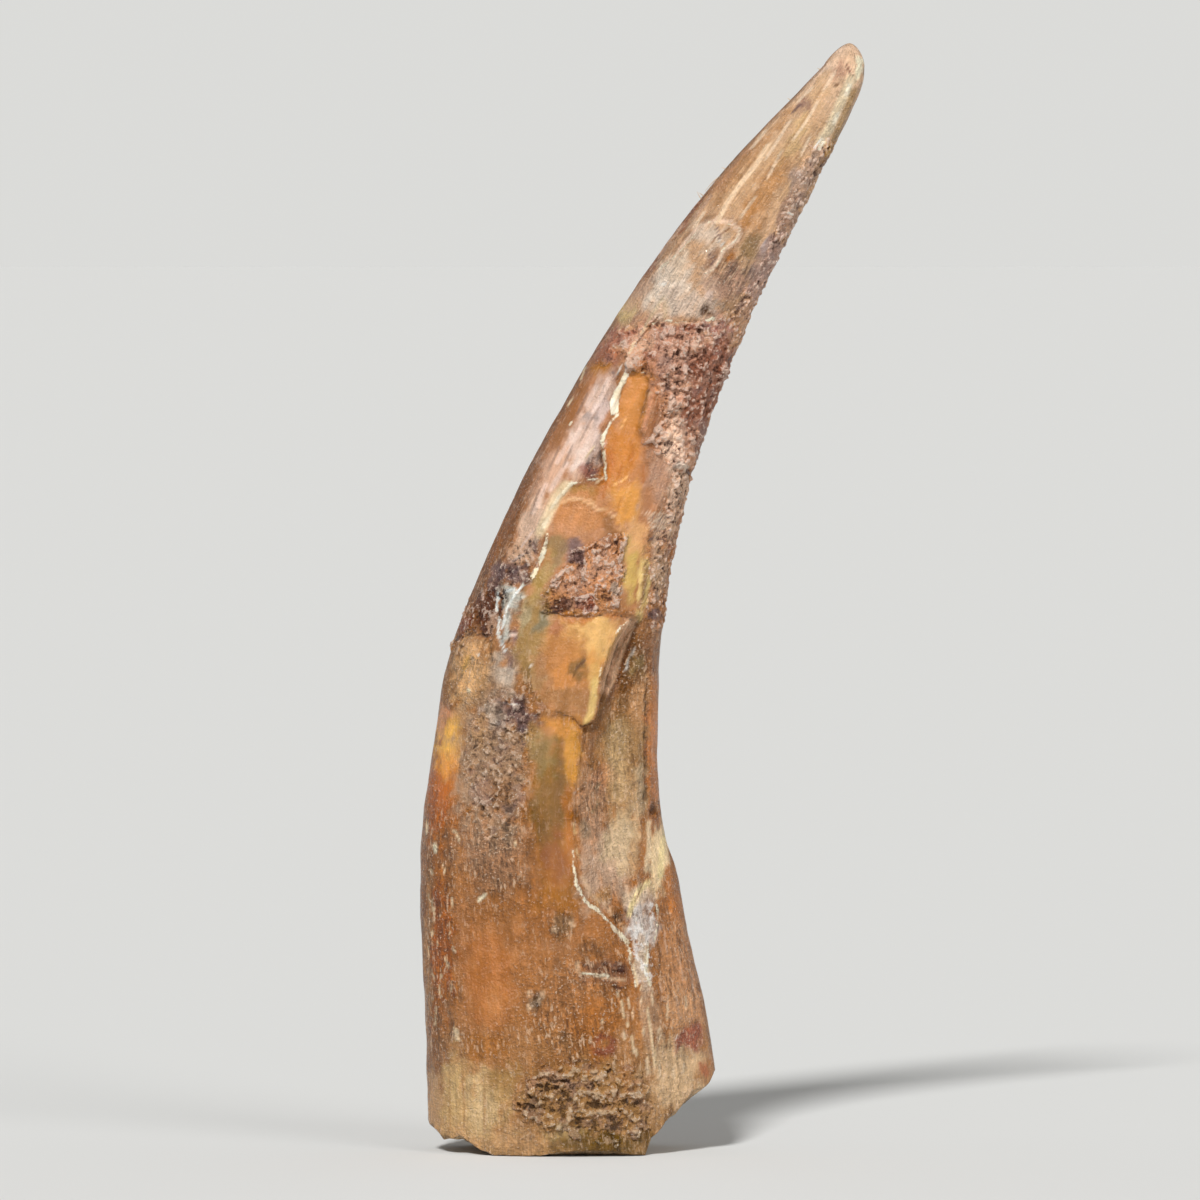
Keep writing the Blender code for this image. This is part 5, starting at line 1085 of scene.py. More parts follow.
def grid_faces(rings, first, last):
    """Quads over rings of vertices, with a fan to one vertex below them and a fan to one above."""
    column = np.arange(COLUMNS)
    after = (column + 1) % COLUMNS
    faces = [(first, int(b), int(a)) for a, b in zip(column + 1, after + 1)]
    for ring in range(rings - 1):
        low, high = 1 + ring * COLUMNS, 1 + (ring + 1) * COLUMNS
        faces += np.stack([low + column, low + after, high + after, high + column], axis=1).tolist()
    top = 1 + (rings - 1) * COLUMNS
    faces += [(int(a), int(b), last) for a, b in zip(top + column, top + after)]
    return faces


def add_object(name, data):
    """Puts a mesh, a lamp or a camera into the scene."""
    thing = bpy.data.objects.new(name, data)
    bpy.context.scene.collection.objects.link(thing)
    return thing


def add_attribute(mesh, name, kind, values):
    """Stores one value a vertex."""
    field = {"FLOAT": "value", "FLOAT_VECTOR": "vector", "FLOAT_COLOR": "color"}[kind]
    attribute = mesh.attributes.new(name, kind, "POINT")
    attribute.data.foreach_set(field, np.ascontiguousarray(values, np.float32).ravel())


def add_tint(mesh, colours):
    """Stores the painted colour of each vertex."""
    add_attribute(mesh, "tint", "FLOAT_COLOR", np.concatenate([colours, np.ones((len(colours), 1))], axis=1))


def loop_vertices(mesh):
    """The vertex at each corner of each face."""
    loops = np.empty(len(mesh.loops), np.int32)
    mesh.loops.foreach_get("vertex_index", loops)
    return loops


def add_bake_map(mesh, places):
    """Lays a mesh out flat: one (u, v) a face corner."""
    mesh.uv_layers.new(name=BAKE_MAP).data.foreach_set("uv", np.ravel(places).astype(np.float32))


def unwrap(mesh, under_count, side_count):
    """The bake map: the side as one sheet, column by ring, and the break as a disc beside it."""
    loops = loop_vertices(mesh)
    ring = (loops - 1) // COLUMNS
    column = ((loops - 1) % COLUMNS).astype(float)
    last = under_count + side_count
    ring[loops == 0] = 0
    ring[loops == len(mesh.vertices) - 1] = last
    face = np.repeat(np.arange(len(mesh.polygons)), [p.loop_total for p in mesh.polygons])
    counts = np.bincount(face)
    starts = np.concatenate([[0], np.cumsum(counts)[:-1]])
    low_column = np.minimum.reduceat(column, starts)
    wraps = (column - low_column[face]) > COLUMNS / 2
    high_side = np.zeros(len(counts), bool)
    high_side[face[wraps]] = True
    column[high_side[face] & (column < COLUMNS / 2)] += COLUMNS
    ends = (loops == 0) | (loops == len(mesh.vertices) - 1)
    column[ends] = low_column[face][ends]
    u = MARGIN + SIDE_SHARE * column / COLUMNS
    v = MARGIN + (1 - 2 * MARGIN) * np.clip((ring - under_count) / side_count, 0.0, 1.0)

    places = np.empty(len(mesh.vertices) * 3, np.float32)
    mesh.vertices.foreach_get("co", places)
    places = places.reshape(-1, 3)[loops] / MM
    on_break = (np.minimum.reduceat(ring, starts) < under_count)[face]
    u = np.where(on_break, BREAK_U + BREAK_SCALE * places[:, 0], u)
    v = np.where(on_break, BREAK_V + BREAK_SCALE * places[:, 1], v)
    add_bake_map(mesh, np.stack([u, v], axis=1))


def make_tooth():
    """The tooth as one closed mesh, with its colour and its marks stored on the vertices."""
    under, side, marks, angles = tooth_grid()
    middle = np.array([[0.0, 0.0, break_height(np.zeros(1), np.zeros(1))[0]]])
    tip = np.array([[TIP_X, SIDEWAYS_LEAN, HEIGHT]])
    points = np.concatenate([middle, under.reshape(-1, 3), side.reshape(-1, 3), tip])
    rings = len(under) + len(side)
    mesh = bpy.data.meshes.new("tooth_surface")
    mesh.from_pydata((points * MM).tolist(), [], grid_faces(rings, 0, len(points) - 1))
    mesh.shade_smooth()

    x, y, z = side[..., 0], side[..., 1], side[..., 2]
    colour = paint(x, y, z, angles)
    broken = paint_break(under[..., 0], under[..., 1], under[..., 2])
    tint = np.concatenate([broken[0, :1], broken.reshape(-1, 3), colour.reshape(-1, 3), colour[-1, :1]])
    add_tint(mesh, tint)

    taper = np.sqrt(section(z)[1] / ROOT_HALF)
    straight = [ROOT_HALF * taper * np.cos(angles), ROOT_HALF_THICKNESS * taper * np.sin(angles), z]
    straight = np.stack(straight, axis=-1).reshape(-1, 3)
    below = under.reshape(-1, 3)
    grain = np.concatenate([middle, below, straight, straight[-1:]])
    add_attribute(mesh, "grain", "FLOAT_VECTOR", grain)
    rough = roughness_at(x, y, z, angles).ravel()
    add_attribute(mesh, "rough", "FLOAT", np.concatenate([np.ones(1 + len(below)), rough, rough[-1:]]))
    marks["window"] = np.maximum(marks["window"], marks["back_window"])
    marks["scar"] = np.maximum(marks["scar"], marks["back_chip"])
    marks["crust"] = np.max([marks[name] for name in CRUSTS], axis=0)
    outside = np.full(1 + len(below), -1.0)
    for name in SHADED_MARKS:
        depth = marks[name].ravel()
        add_attribute(mesh, name, "FLOAT", np.concatenate([outside, depth, depth[-1:]]))
    unwrap(mesh, len(under), len(side))
    return add_object("tooth_surface", mesh)


# --- Crusts: dense sheets of lumps that stand on the tooth, and dip under its surface at their edges ---


def sand_height(x, y, z):
    """Sand cemented in clods with deep hollows between: (height, how far up its own lump each place is)."""
    bend = 0.12 * lumps(x, y, z, 0.5, 106.0, octaves=4)
    clod, _number = cobbles(x, y, z + bend, (0.70, 0.70, 0.52), 101.0)
    warp = 0.05 * lumps(x, y, z, 0.3, 102.0)
    grain, number = cobbles(x + warp, y, z + warp, 0.27, 103.0)
    small, small_number = cobbles(x - warp, y, z, 0.15, 104.0)
    broad = lumps(x, y, z, 1.1, 105.0)
    grain, small = grain * (0.3 + number), small * (0.3 + small_number)
    height = 0.02 + 0.05 * broad + 0.08 * clod + 0.15 * grain + 0.05 * small
    return height, 0.20 * clod + 0.42 * grain + 0.30 * small + 0.16 * broad


def rusty_height(x, y, z):
    """Knobbly lumps of iron-stained crust, finer and grittier towards the concave edge."""
    centre, half = section(z)[:2]
    gritty = ramp((x - centre) / half, 0.35, 0.75)
    warp = 0.14 * lumps(x, y, z, 0.5, 111.0, octaves=4)
    knob, number = cobbles(x + warp, y, z - warp, (0.42, 0.42, 0.52), 112.0)
    small, small_number = cobbles(x - warp, y, z, 0.22, 116.0)
    grit, grit_number = cobbles(x, y, z + 0.3 * warp, 0.15, 113.0)
    broad = lumps(x, y, z, 1.0, 114.0, octaves=4)
    speck = lumps(x, y, z, 0.12, 115.0)
    coarse = 0.06 * broad + 0.24 * knob * (0.3 + number) + 0.07 * small * (0.2 + small_number) + 0.015 * speck
    fine = 0.04 * broad + 0.03 * knob * number + 0.055 * grit * (0.3 + grit_number)
    height = 0.02 + coarse * (1 - gritty) + fine * gritty
    coarse_level = 0.42 * knob * (0.3 + number) + 0.22 * small * (0.3 + small_number) + 0.20 * speck
    fine_level = 0.55 * grit * (0.2 + grit_number) + 0.12 * speck
    return height, coarse_level * (1 - gritty) + fine_level * gritty + 0.16 * broad


def veined_height(x, y, z):
    """A thin crust crossed by crinkled raised threads."""
    bend = 0.20 * lumps(x, y, z, 0.6, 121.0)
    thread = np.clip(1 - np.abs(lumps(x + bend, y, z, 0.5, 122.0, octaves=4)) / 0.12, 0.0, 1.0)
    broad = lumps(x, y, z, 0.45, 124.0)
    speck = lumps(x, y, z, 0.12, 125.0)
    height = 0.02 + 0.06 * broad + 0.045 * thread + 0.025 * speck
    return height, 0.30 * broad + 0.24 * thread + 0.26 * speck


def pebbled_height(x, y, z):
    """Small shining bumps packed close, with wrinkles between."""
    warp = 0.07 * lumps(x, y, z, 0.35, 131.0)
    bump, number = cobbles(x + warp, y, z - warp, (0.20, 0.20, 0.23), 132.0)
    wrinkle = 1 - 2.2 * np.abs(lumps(x, y, z, 0.30, 133.0, octaves=4))
    broad = lumps(x, y, z, 0.8, 134.0)
    height = 0.085 * bump * (0.4 + number) + 0.03 * wrinkle + 0.03 * broad - 0.01
    return height, 0.34 * bump * (0.3 + number) + 0.24 * wrinkle + 0.10 * broad


def flaked_height(x, y, z):
    """Enamel gone to ragged flakes that run up and down the tooth."""
    flake = lumps(x + 0.4 * z, y, z, (0.18, 0.18, 0.4), 141.0, octaves=4)
    broad = lumps(x, y, z, 0.6, 142.0)
    speck = lumps(x, y, z, 0.12, 143.0)
    height = 0.01 + 0.05 * np.round(1.5 * flake) / 1.5 + 0.03 * broad + 0.015 * speck
    return height, 0.30 * flake + 0.16 * broad + 0.22 * speck


# Each crust: (shape, lowest and highest z, first and last angle in degrees round from the concave edge,
# spacing of its vertices).
CRUSTS = {
    "sand": (sand_height, 0.3, 4.0, -150, -35, 0.020),
    "rusty": (rusty_height, 18.3, 36.8, -150, 22, 0.032),
    "veined": (veined_height, 19.0, 22.8, -125, -35, 0.020),
    "pebbled": (pebbled_height, 10.8, 17.4, -160, -80, 0.025),
    "flaked": (flaked_height, 17.9, 22.7, -180, -80, 0.024),
    "back_sand": (sand_height, 0.3, 5.4, 25, 115, 0.032),
    "back_rusty": (rusty_height, 19.5, 33.0, 15, 130, 0.044),
}
LEVEL_MIDDLE, LEVEL_SPREAD = 0.5, 0.2
BACK_CRUST_SHARE = 0.55
# How high lines and knobs stand and how far they move the level, which paints risen places paler and moats
# darker: painted highlight and shade.
LINE_RISE, LINE_LEVEL = 0.13, 0.48
KNOB_RISE, KNOB_LEVEL = 0.50, 0.24
MOAT_DEPTH, MOAT_LEVEL = 0.02, 0.16
SKIRT = 0.14  # how far a crust goes on past its mark's edge, under the tooth


def add_lines(name, x, z, height, level, ragged):
    """Raises and sinks a crust along its own lines, and raises its own knobs, each with a moat round it.

    The level moves with them: risen places are painted paler and sunk places and moats darker, as painted
    highlight and shade.
    """
    for half_width, rise, points in CRUST_LINES.get(name, []):
        cover = ramp(half_width * (1.5 + 0.9 * ragged) - distance_to_line(x, z, points), 0.0, half_width)
        cover = cover * np.clip(0.75 + 0.6 * ragged, 0.0, 1.0)
        height = height + LINE_RISE * rise * cover
        level = level + LINE_LEVEL * rise * cover
    for knob_x, knob_z, radius in CRUST_KNOBS.get(name, []):
        reach = np.hypot(x - knob_x, z - knob_z) / radius + 0.7 * ragged
        dome = np.sqrt(np.clip(1 - reach**2, 0.0, 1.0))
        moat = ramp(np.abs(reach - 1.2), 0.45, 0.0)
        height = height + KNOB_RISE * radius * dome - MOAT_DEPTH * moat
        level = level + KNOB_LEVEL * dome - MOAT_LEVEL * moat
    return height, level


def crust_places(name):
    """A crust's vertices: (which of its grid they are, their (u, v), x, y, z, angle, depth in its mark)."""
    _shape, low, high, first, last, spacing = CRUSTS[name]
    heights = np.arange(low, high, spacing)
    widest = section(heights)[1].max()
    angles = np.arange(math.radians(first), math.radians(last), spacing / widest)
    z, angle = np.meshgrid(heights, angles, indexing="ij")
    x, y = plain_surface(z, angle)
    facing = np.sin(angle) if name.startswith("back_") else -np.sin(angle)
    round_the_edge = 1.2 * (0.35 + facing) * section(z)[3]
    depth = np.minimum(mark_depth(name, x, z, jagged(x, y, z)), round_the_edge)
    flat = np.stack([(angle - angles[0]) / (angles[-1] - angles[0]), (z - low) / (high - low)], axis=-1)
    wanted = depth > -SKIRT
    return wanted, *(values[wanted] for values in (flat, x, y, z, angle, depth))


def crust_relief(name, x, y, z, depth):
    """(how high a crust stands on the tooth, its level: where light and shade are painted on it) at its
    vertices.
    """
    height, level = CRUSTS[name][0](x, y, z)
    level = LEVEL_MIDDLE + LEVEL_SPREAD * (level - level.mean()) / level.std()
    ragged = lumps(x, y, z, 0.16, 151.0)
    height, level = add_lines(name, x + 0.06 * ragged, z + 0.06 * jagged(x, y, z), height, level, ragged)
    height = height * (BACK_CRUST_SHARE if name.startswith("back_") else 1.0)
    height = ramp(depth, -0.10, SKIRT) * np.maximum(height, -0.03) - 0.12 * (1 - ramp(depth, -0.12, 0.02))
    return height, level


def sheet_faces(wanted):
    """The quads of a grid whose four corners are all wanted."""
    number = np.full(wanted.shape, -1)
    number[wanted] = np.arange(wanted.sum())
    corners = [number[:-1, :-1], number[:-1, 1:], number[1:, 1:], number[1:, :-1]]
    corners = np.stack(corners, axis=-1).reshape(-1, 4)
    return corners[(corners >= 0).all(axis=1)].tolist()


def make_crust(name):
    """One crust as a sheet over its mark on the tooth, with its colour and its own light and dark."""
    wanted, flat, x, y, z, angle, depth = crust_places(name)
    height, level = crust_relief(name, x, y, z, depth)
    points, _marks = side_points(z, angle, height)
    mesh = bpy.data.meshes.new(name + "_crust")
    mesh.from_pydata((points * MM).tolist(), [], sheet_faces(wanted))
    mesh.shade_smooth()
    add_tint(mesh, paint(x, y, z, angle))
    add_attribute(mesh, "level", "FLOAT", level)
    add_bake_map(mesh, (MARGIN + (1 - 2 * MARGIN) * flat)[loop_vertices(mesh)])
    return add_object(name + "_crust", mesh)


# Fibres of dust on the outer edge near the tip: height, reach to the left and up, and how far each bows.
FIBRES = [
    (34.50, 0.17, 0.10, 0.05), (34.40, 0.13, 0.24, -0.05), (35.10, 0.42, -0.46, 0.12),
    (35.46, 0.13, 0.05, 0.03), (37.95, 0.11, 0.06, 0.02), (39.05, 0.09, 0.05, 0.00),
]
FIBRE_RADIUS = 0.024
FIBRE_RINGS, FIBRE_SIDES = 9, 5


def make_fibres():
    """Loose fibres that cling to the tooth, as thin bent rods whose first fifth is inside it."""
    along = np.linspace(-0.2, 1.0, FIBRE_RINGS)[:, None]
    turn = 2 * math.pi * np.arange(FIBRE_SIDES) / FIBRE_SIDES
    radius = FIBRE_RADIUS * (1 - 0.8 * np.maximum(along, 0.0))
    points, corners, places = [], [], []
    for number, (height, left, up, bow) in enumerate(FIBRES):
        edge_x, edge_y = plain_surface(np.array([height]), np.array([math.pi]))
        aside = radius * np.cos(turn) / math.hypot(left, up)
        x = edge_x - left * along + up * aside
        y = edge_y + radius * np.sin(turn)
        z = height + up * along + bow * along * (1 - along) + left * aside
        first = len(points)
        points += np.stack([x, y, z], axis=-1).reshape(-1, 3).tolist()
        for ring in range(FIBRE_RINGS - 1):
            for side in range(FIBRE_SIDES):
                quad = [(ring, side), (ring, side + 1), (ring + 1, side + 1), (ring + 1, side)]
                corners.append([first + i * FIBRE_SIDES + j % FIBRE_SIDES for i, j in quad])
                across = [(number + 0.1 + 0.8 * j / FIBRE_SIDES) / len(FIBRES) for _i, j in quad]
                places += [(u, i / FIBRE_RINGS) for u, (i, _j) in zip(across, quad)]
    mesh = bpy.data.meshes.new("dust_fibres")
    mesh.from_pydata((np.array(points) * MM).tolist(), [], corners)
    mesh.shade_smooth()
    add_bake_map(mesh, places)
    return add_object("dust_fibres", mesh)


# --- Materials ---


class Recipe:
    """A material's nodes, built one value at a time, so that a look reads as sums."""

    def __init__(self, name):
        self.material = bpy.data.materials.new(name)
        self.material.use_nodes = True
        self.tree = self.material.node_tree
        self.shader = self.tree.nodes["Principled BSDF"]
        coordinates = self.tree.nodes.new("ShaderNodeTexCoord")
        self.place = self.scaled(coordinates.outputs["Object"], 1 / MM)

    def feed(self, value, socket):
        """Gives a socket a node's output, a number or a colour."""
        if isinstance(value, bpy.types.NodeSocket):
            self.tree.links.new(value, socket)
        else:
            socket.default_value = value

    def math(self, operation, a, b=0.0):
        node = self.tree.nodes.new("ShaderNodeMath")
        node.operation = operation
        self.feed(a, node.inputs[0])
        self.feed(b, node.inputs[1])
        return node.outputs[0]

    def fold(self, operation, values):
        """Several values as one."""
        return functools.reduce(functools.partial(self.math, operation), values)

    def add(self, *values):
        return self.fold("ADD", values)

    def times(self, *values):
        return self.fold("MULTIPLY", values)

    def most(self, *values):
        return self.fold("MAXIMUM", values)

    def without(self, value):
        """What is left of 1."""
        return self.math("SUBTRACT", 1.0, value)

    def vary(self, value, amount, middle=0.5):
        """A noise value as a change of up to about amount either way."""
        return self.times(self.math("SUBTRACT", value, middle), 2 * amount)

    def ramp(self, value, low, high):
        node = self.tree.nodes.new("ShaderNodeMapRange")
        node.interpolation_type = "SMOOTHSTEP"
        self.feed(value, node.inputs["Value"])
        node.inputs["From Min"].default_value = low
        node.inputs["From Max"].default_value = high
        return node.outputs["Result"]

    def at_least(self, value, least):
        """A value of 0 to 1, squeezed into least to 1."""
        return self.add(least, self.times(value, 1 - least))

    def level(self, value, low=0.32, high=0.68):
        """A noise value spread out over 0 to 1."""
        return self.ramp(value, low, high)

    def inside(self, name, uneven, soft=0.03):
        """Whether a place lies inside a mark, from the depth stored for it, with an uneven edge."""
        return self.ramp(self.add(self.attribute(name), uneven), -soft, soft)

    def scaled(self, vector, scale):
        """A vector times a number, or times one number an axis."""
        node = self.tree.nodes.new("ShaderNodeVectorMath")
        node.operation = "MULTIPLY"
        self.feed(vector, node.inputs[0])
        node.inputs[1].default_value = scale if isinstance(scale, tuple) else (scale,) * 3
        return node.outputs[0]

    def shade(self, colour, factor):
        """A colour made lighter or darker."""
        node = self.tree.nodes.new("ShaderNodeVectorMath")
        node.operation = "SCALE"
        self.feed(colour, node.inputs[0])
        self.feed(factor, node.inputs["Scale"])
        return node.outputs[0]

    def mix(self, a, b, factor):
        """Colour a, covered by colour b as far as factor says."""
        node = self.tree.nodes.new("ShaderNodeMix")
        node.data_type = "RGBA"
        self.feed(factor, node.inputs["Factor"])
        for colour, socket in ((a, node.inputs[6]), (b, node.inputs[7])):
            if isinstance(colour, tuple):
                colour = (*linear(colour), 1.0)
            self.feed(colour, socket)
        return node.outputs[2]

    def attribute(self, name, output="Fac"):
        node = self.tree.nodes.new("ShaderNodeAttribute")
        node.attribute_name = name
        return node.outputs[output]

    def noise(self, vector, size, detail=3.0, roughness=0.55, distortion=0.0):
        """Noise of about 0 to 1 with features about size across: a number, or one number an axis."""
        sizes = size if isinstance(size, tuple) else (size,) * 3
        node = self.tree.nodes.new("ShaderNodeTexNoise")
        self.feed(self.scaled(vector, tuple(1 / s for s in sizes)), node.inputs["Vector"])
        node.inputs["Scale"].default_value = 1.0
        node.inputs["Detail"].default_value = detail
        node.inputs["Roughness"].default_value = roughness
        node.inputs["Distortion"].default_value = distortion
        return node.outputs["Fac"]

    def finish(self, colour, roughness, height):
        """Colour, roughness and a bump whose height is in millimetres."""
        self.feed(colour, self.shader.inputs["Base Color"])
        self.feed(roughness, self.shader.inputs["Roughness"])
        bump = self.tree.nodes.new("ShaderNodeBump")
        bump.inputs["Strength"].default_value = 1.0
        bump.inputs["Distance"].default_value = MM
        self.feed(height, bump.inputs["Height"])
        self.tree.links.new(bump.outputs["Normal"], self.shader.inputs["Normal"])
        return self.material


def tooth_wear(r, uneven):
    """(how smooth, how rough, how fibrous) each place is, from the marks that it lies in."""
    panel = r.times(r.inside("panel", uneven, 0.3), 0.6)
    smooth = r.most(r.inside("window", uneven), r.inside("slab", uneven), panel)
    crusty = r.most(r.inside("crust", uneven, 0.15), r.times(r.inside("patch", uneven), 0.6))
    unpolished = r.without(r.times(smooth, 0.8))
    rough = r.times(r.most(r.attribute("rough"), crusty), unpolished)
    fibrous = r.times(r.at_least(rough, 0.16), unpolished, r.without(r.times(crusty, 0.8)))
    return smooth, rough, fibrous


def tooth_flecks_and_glints(r, grain, rough):
    """(short pale flecks along the grain, dark pores against them, finer pale specks), all in drifts.

    The pale flecks and specks are partly the tooth's own and partly painted glints.
    """
    drift = r.noise(r.place, 1.1, detail=3.0)
    cells = r.noise(grain, (0.11, 0.11, 0.34), detail=3.0)
    dots = r.noise(r.place, 0.085, detail=2.0)
    fleck_and_glint = r.times(r.ramp(cells, 0.57, 0.63), r.ramp(drift, 0.40, 0.58), rough)
    pore = r.times(r.ramp(cells, 0.41, 0.35), r.ramp(drift, 0.38, 0.56), rough)
    speck = r.times(r.ramp(dots, 0.61, 0.67), r.ramp(drift, 0.80, 0.42), rough)
    return fleck_and_glint, pore, speck


def with_broken_edges(r, colour, pale, uneven, mottle, streaks):
    """A colour under the cream of broken edges, the dark of cracks and of the painted shade in the groove and
    under the slab's step, and the chalky mineral.
    """
    dark, calcite = r.inside("dark", uneven, 0.04), r.inside("calcite", uneven, 0.06)
    cream = r.mix((0.97, 0.90, 0.76), (1.0, 0.98, 0.89), mottle)
    colour = r.mix(colour, cream, r.times(pale, r.add(0.62, r.times(r.ramp(streaks, 0.10, 0.45), 0.33))))
    colour = r.mix(colour, (0.17, 0.11, 0.09), r.times(dark, 0.75))
    colour = r.mix(colour, (0.97, 0.95, 0.93), r.times(calcite, r.ramp(mottle, 0.50, 0.95), 0.7))
    return r.mix(colour, (0.60, 0.48, 0.40), r.times(calcite, r.ramp(mottle, 0.25, 0.08), 0.5))


def tooth_material():
    """Enamel and dentine: the painted tint, broken up by grain, pores, flecks and specks that are partly
    painted glints, and broken edges.
    """
    r = Recipe("fossil_tooth")
    grain = r.attribute("grain", "Vector")
    fine = r.level(r.noise(r.place, 0.09, detail=3.0, roughness=0.6))
    mottle = r.level(r.noise(r.place, 0.34, detail=6.0, roughness=0.65))
    threads = r.level(r.noise(grain, (0.085, 0.085, 0.75), detail=4.0, roughness=0.6))
    streaks = r.level(r.noise(grain, (0.24, 0.24, 3.0), detail=4.0, roughness=0.6))
    uneven = r.vary(fine, 0.02)
    smooth, rough, fibrous = tooth_wear(r, uneven)
    fleck_and_glint, pore, speck = tooth_flecks_and_glints(r, grain, rough)
    pale = r.inside("pale", uneven, 0.025)

    light = r.add(
        1.0,
        r.times(r.vary(threads, 0.22), fibrous),
        r.times(r.vary(streaks, 0.20), fibrous),
        r.times(r.vary(mottle, 0.24), r.at_least(rough, 0.15)),
        r.times(r.vary(fine, 0.18), r.at_least(rough, 0.16)),
    )
    colour = r.shade(r.attribute("tint", "Color"), light)
    # Pale flecks and specks: partly the tooth's own, partly painted glints.
    colour = r.mix(colour, (0.97, 0.82, 0.68), r.times(fleck_and_glint, 0.70))
    colour = r.mix(colour, (0.99, 0.88, 0.78), r.times(speck, 0.75))
    colour = r.mix(colour, (0.28, 0.16, 0.11), r.times(pore, 0.60))
    colour = with_broken_edges(r, colour, pale, uneven, mottle, streaks)

    # A low roughness all over, higher where the surface is worn.
    gloss = r.add(
        0.165,
        r.times(rough, 0.11),
        r.times(r.ramp(rough, 0.75, 1.0), 0.16),
        r.times(smooth, -0.02),
        r.vary(mottle, 0.10),
        r.times(r.inside("scar", uneven), 0.04),
    )
    height = r.add(
        r.times(r.vary(threads, 0.011), fibrous),
        r.times(r.vary(streaks, 0.018), fibrous),
        r.times(r.vary(mottle, 0.070), r.at_least(rough, 0.08)),
        r.times(r.vary(fine, 0.034), r.at_least(rough, 0.10)),
        r.times(pale, 0.02),
        r.times(pore, -0.035),
        r.times(r.add(fleck_and_glint, speck), 0.025),
    )
    return r.finish(colour, gloss, height)


def crust_material(name, dark, pale, dark_share, pale_share, roughness, lift):
    """A crust: its tint, darker in its hollows as painted shade and paler on its grains, partly their own
    colour and partly painted highlight, as its level says, with painted glints on its higher places.
    """
    r = Recipe(name)
    fine = r.level(r.noise(r.place, 0.065, detail=3.0, roughness=0.65))
    mottle = r.level(r.noise(r.place, 0.24, detail=6.0, roughness=0.7))
    broad = r.noise(r.place, 0.8, detail=4.0)
    grey = r.noise(r.place, 0.62, detail=4.0)
    level = r.add(r.attribute("level"), r.vary(fine, 0.14), r.vary(mottle, 0.12))
    # Lighter on high places and darker in hollows, from the level: painted highlight and shade.
    colour = r.shade(r.attribute("tint", "Color"), r.times(r.add(0.72, r.times(level, 1.10)), lift))
    colour = r.mix(colour, (0.86, 0.68, 0.58), r.times(r.ramp(broad, 0.50, 0.62), 0.35))
    colour = r.mix(colour, (0.56, 0.48, 0.48), r.times(r.ramp(grey, 0.52, 0.62), 0.30))
    colour = r.mix(colour, dark, r.times(r.ramp(level, 0.32, 0.06), dark_share))
    colour = r.mix(colour, pale, r.times(r.ramp(level, 0.62, 0.90), pale_share))
    # Painted glints on the higher places.
    glint = r.times(r.ramp(r.noise(r.place, 0.08, detail=2.0), 0.60, 0.67), r.ramp(level, 0.40, 0.60))
    colour = r.mix(colour, (1.0, 0.95, 0.88), r.times(glint, 0.65))
    height = r.add(r.vary(fine, 0.024), r.vary(mottle, 0.030))
    return r.finish(colour, r.add(roughness, r.vary(mottle, 0.08)), height)


def fibre_material():
    """Pale dusty fibre."""
    r = Recipe("dust_fibres")
    uneven = r.noise(r.place, 0.12)
    return r.finish(r.mix((0.66, 0.54, 0.42), (0.93, 0.86, 0.77), uneven), 0.6, r.vary(uneven, 0.004))


# --- The studio ---

FRAME_MM = 43.35
LENS, SENSOR = 300.0, 36.0
VIEW_ELEVATION = 2.0
VIEW_CENTRE = Vector((1.44, 0.0, 19.895))
BACKDROP_COLOUR = (0.86, 0.86, 0.85)
WORLD_SHINE = 0.24
FLOOR_SIZE, FLOOR_GAP = 40.0, 0.02  # metres across, and millimetres below the tooth
LIGHTS = [  # name, degrees to the viewer's right of the front, elevation, strength, softness in degrees
    ("key", -16.0, 42.0, 3.0, 9.0),
    ("fill", 42.0, 20.0, 0.9, 30.0),
    ("rim_left", -120.0, 20.0, 0.38, 80.0),
    ("rim_right", 120.0, 20.0, 0.40, 80.0),
]


def add_camera():
    """A long lens in front of the scarred face, a little above it."""
    camera = add_object("camera", bpy.data.cameras.new("camera"))
    camera.data.lens = LENS
    camera.data.sensor_width = SENSOR
    camera.data.clip_start = 0.005
    tilt = math.radians(VIEW_ELEVATION)
    distance = FRAME_MM * LENS / SENSOR
    camera.location = (VIEW_CENTRE + distance * Vector((0.0, -math.cos(tilt), math.sin(tilt)))) * MM
    camera.rotation_euler = (math.pi / 2 - tilt, 0.0, 0.0)
    bpy.context.scene.camera = camera


def add_light(name, azimuth, elevation, strength, softness):
    """A soft light from far off."""
    light = add_object(name, bpy.data.lights.new(name, "SUN"))
    light.data.energy = strength
    light.data.angle = math.radians(softness)
    turn, tilt = math.radians(azimuth), math.radians(elevation)
    towards = Vector((math.sin(turn) * math.cos(tilt), -math.cos(turn) * math.cos(tilt), math.sin(tilt)))
    light.rotation_euler = (-towards).to_track_quat("-Z", "Y").to_euler()


def floor_shade():
    """The floor's own colour that shows as the backdrop's under these lights, so that no horizon shows."""
    backdrop = linear(BACKDROP_COLOUR)
    sun = sum(strength * math.sin(math.radians(tilt)) for _name, _turn, tilt, strength, _softness in LIGHTS)
    return backdrop / (sun / math.pi + WORLD_SHINE * backdrop)


def add_floor():
    """A pale floor that reaches out to the backdrop, a hair below the tooth."""
    bpy.ops.mesh.primitive_plane_add(size=FLOOR_SIZE, location=(0.0, 0.0, -FLOOR_GAP * MM))
    floor = bpy.context.object
    floor.name = "floor"
    r = Recipe("studio_floor")
    r.shader.inputs["Base Color"].default_value = (*floor_shade(), 1.0)
    r.shader.inputs["Roughness"].default_value = 1.0
    r.shader.inputs["Specular IOR Level"].default_value = 0.0
    floor.data.materials.append(r.material)


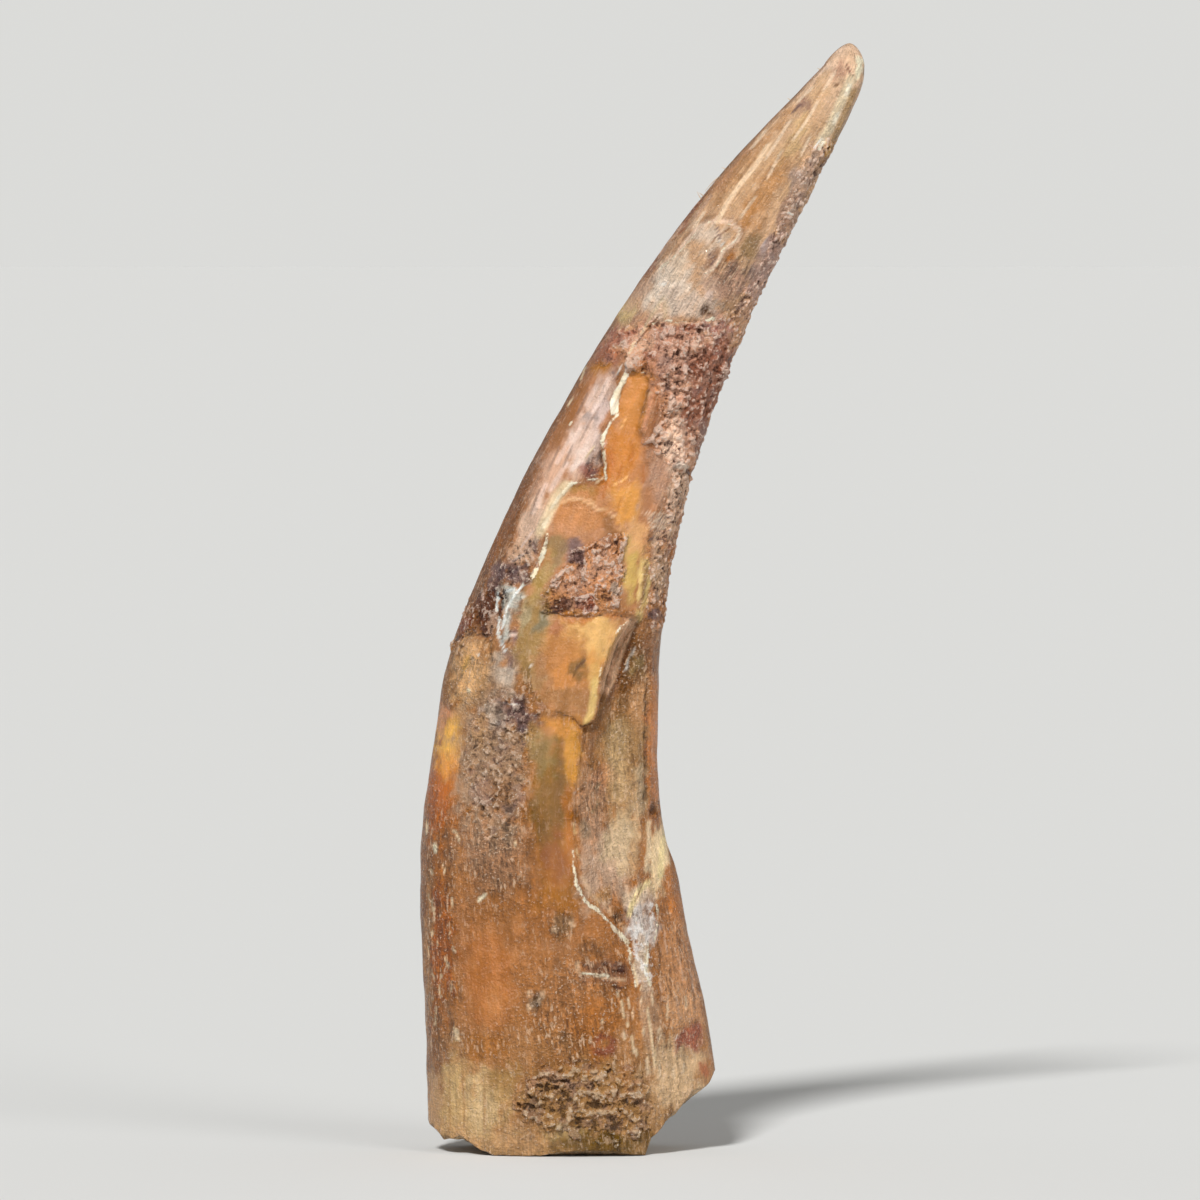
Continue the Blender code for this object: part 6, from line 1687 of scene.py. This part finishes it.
def add_world():
    """A plain backdrop that the camera sees paler than it shines, so that the light keeps its direction."""
    world = bpy.data.worlds.new("studio")
    bpy.context.scene.world = world
    world.use_nodes = True
    tree = world.node_tree
    shine = tree.nodes["Background"]
    shine.inputs["Color"].default_value = (*linear(BACKDROP_COLOUR), 1.0)
    shine.inputs["Strength"].default_value = WORLD_SHINE
    seen = tree.nodes.new("ShaderNodeBackground")
    seen.inputs["Color"].default_value = (*linear(BACKDROP_COLOUR), 1.0)
    path = tree.nodes.new("ShaderNodeLightPath")
    either = tree.nodes.new("ShaderNodeMixShader")
    tree.links.new(path.outputs["Is Camera Ray"], either.inputs["Fac"])
    tree.links.new(shine.outputs[0], either.inputs[1])
    tree.links.new(seen.outputs[0], either.inputs[2])
    tree.links.new(either.outputs[0], tree.nodes["World Output"].inputs["Surface"])


def set_up_studio():
    add_camera()
    add_floor()
    add_world()
    for light in LIGHTS:
        add_light(*light)
    bpy.context.scene.view_settings.view_transform = "Standard"


# Each crust's colours: dark in its hollows as painted shade, pale on its grains as their own colour and painted
# highlight, how much of each shows, its roughness, and how much paler than the paint it is.
CRUST_LOOKS = {
    "sand": ((0.27, 0.19, 0.13), (0.88, 0.77, 0.64), 0.70, 0.70, 0.22, 1.0),
    "rusty": ((0.34, 0.20, 0.16), (1.00, 0.88, 0.80), 0.75, 0.70, 0.21, 1.30),
    "veined": ((0.30, 0.18, 0.15), (1.00, 0.88, 0.80), 0.75, 0.80, 0.24, 1.25),
    "pebbled": ((0.33, 0.25, 0.21), (0.93, 0.83, 0.74), 0.55, 0.50, 0.15, 1.0),
    "flaked": ((0.18, 0.11, 0.11), (0.95, 0.84, 0.76), 0.80, 0.70, 0.22, 0.95),
}
CRUST_LOOKS["back_sand"] = CRUST_LOOKS["sand"]
CRUST_LOOKS["back_rusty"] = CRUST_LOOKS["rusty"]


def main():
    tooth = make_tooth()
    tooth.data.materials.append(tooth_material())
    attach(tooth, "root")
    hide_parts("tooth")
    for name, look in CRUST_LOOKS.items():
        crust = make_crust(name)
        crust.data.materials.append(crust_material(name + "_crust", *look))
        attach(crust, "root")
    fibres = make_fibres()
    fibres.data.materials.append(fibre_material())
    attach(fibres, "root")
    set_up_studio()


main()
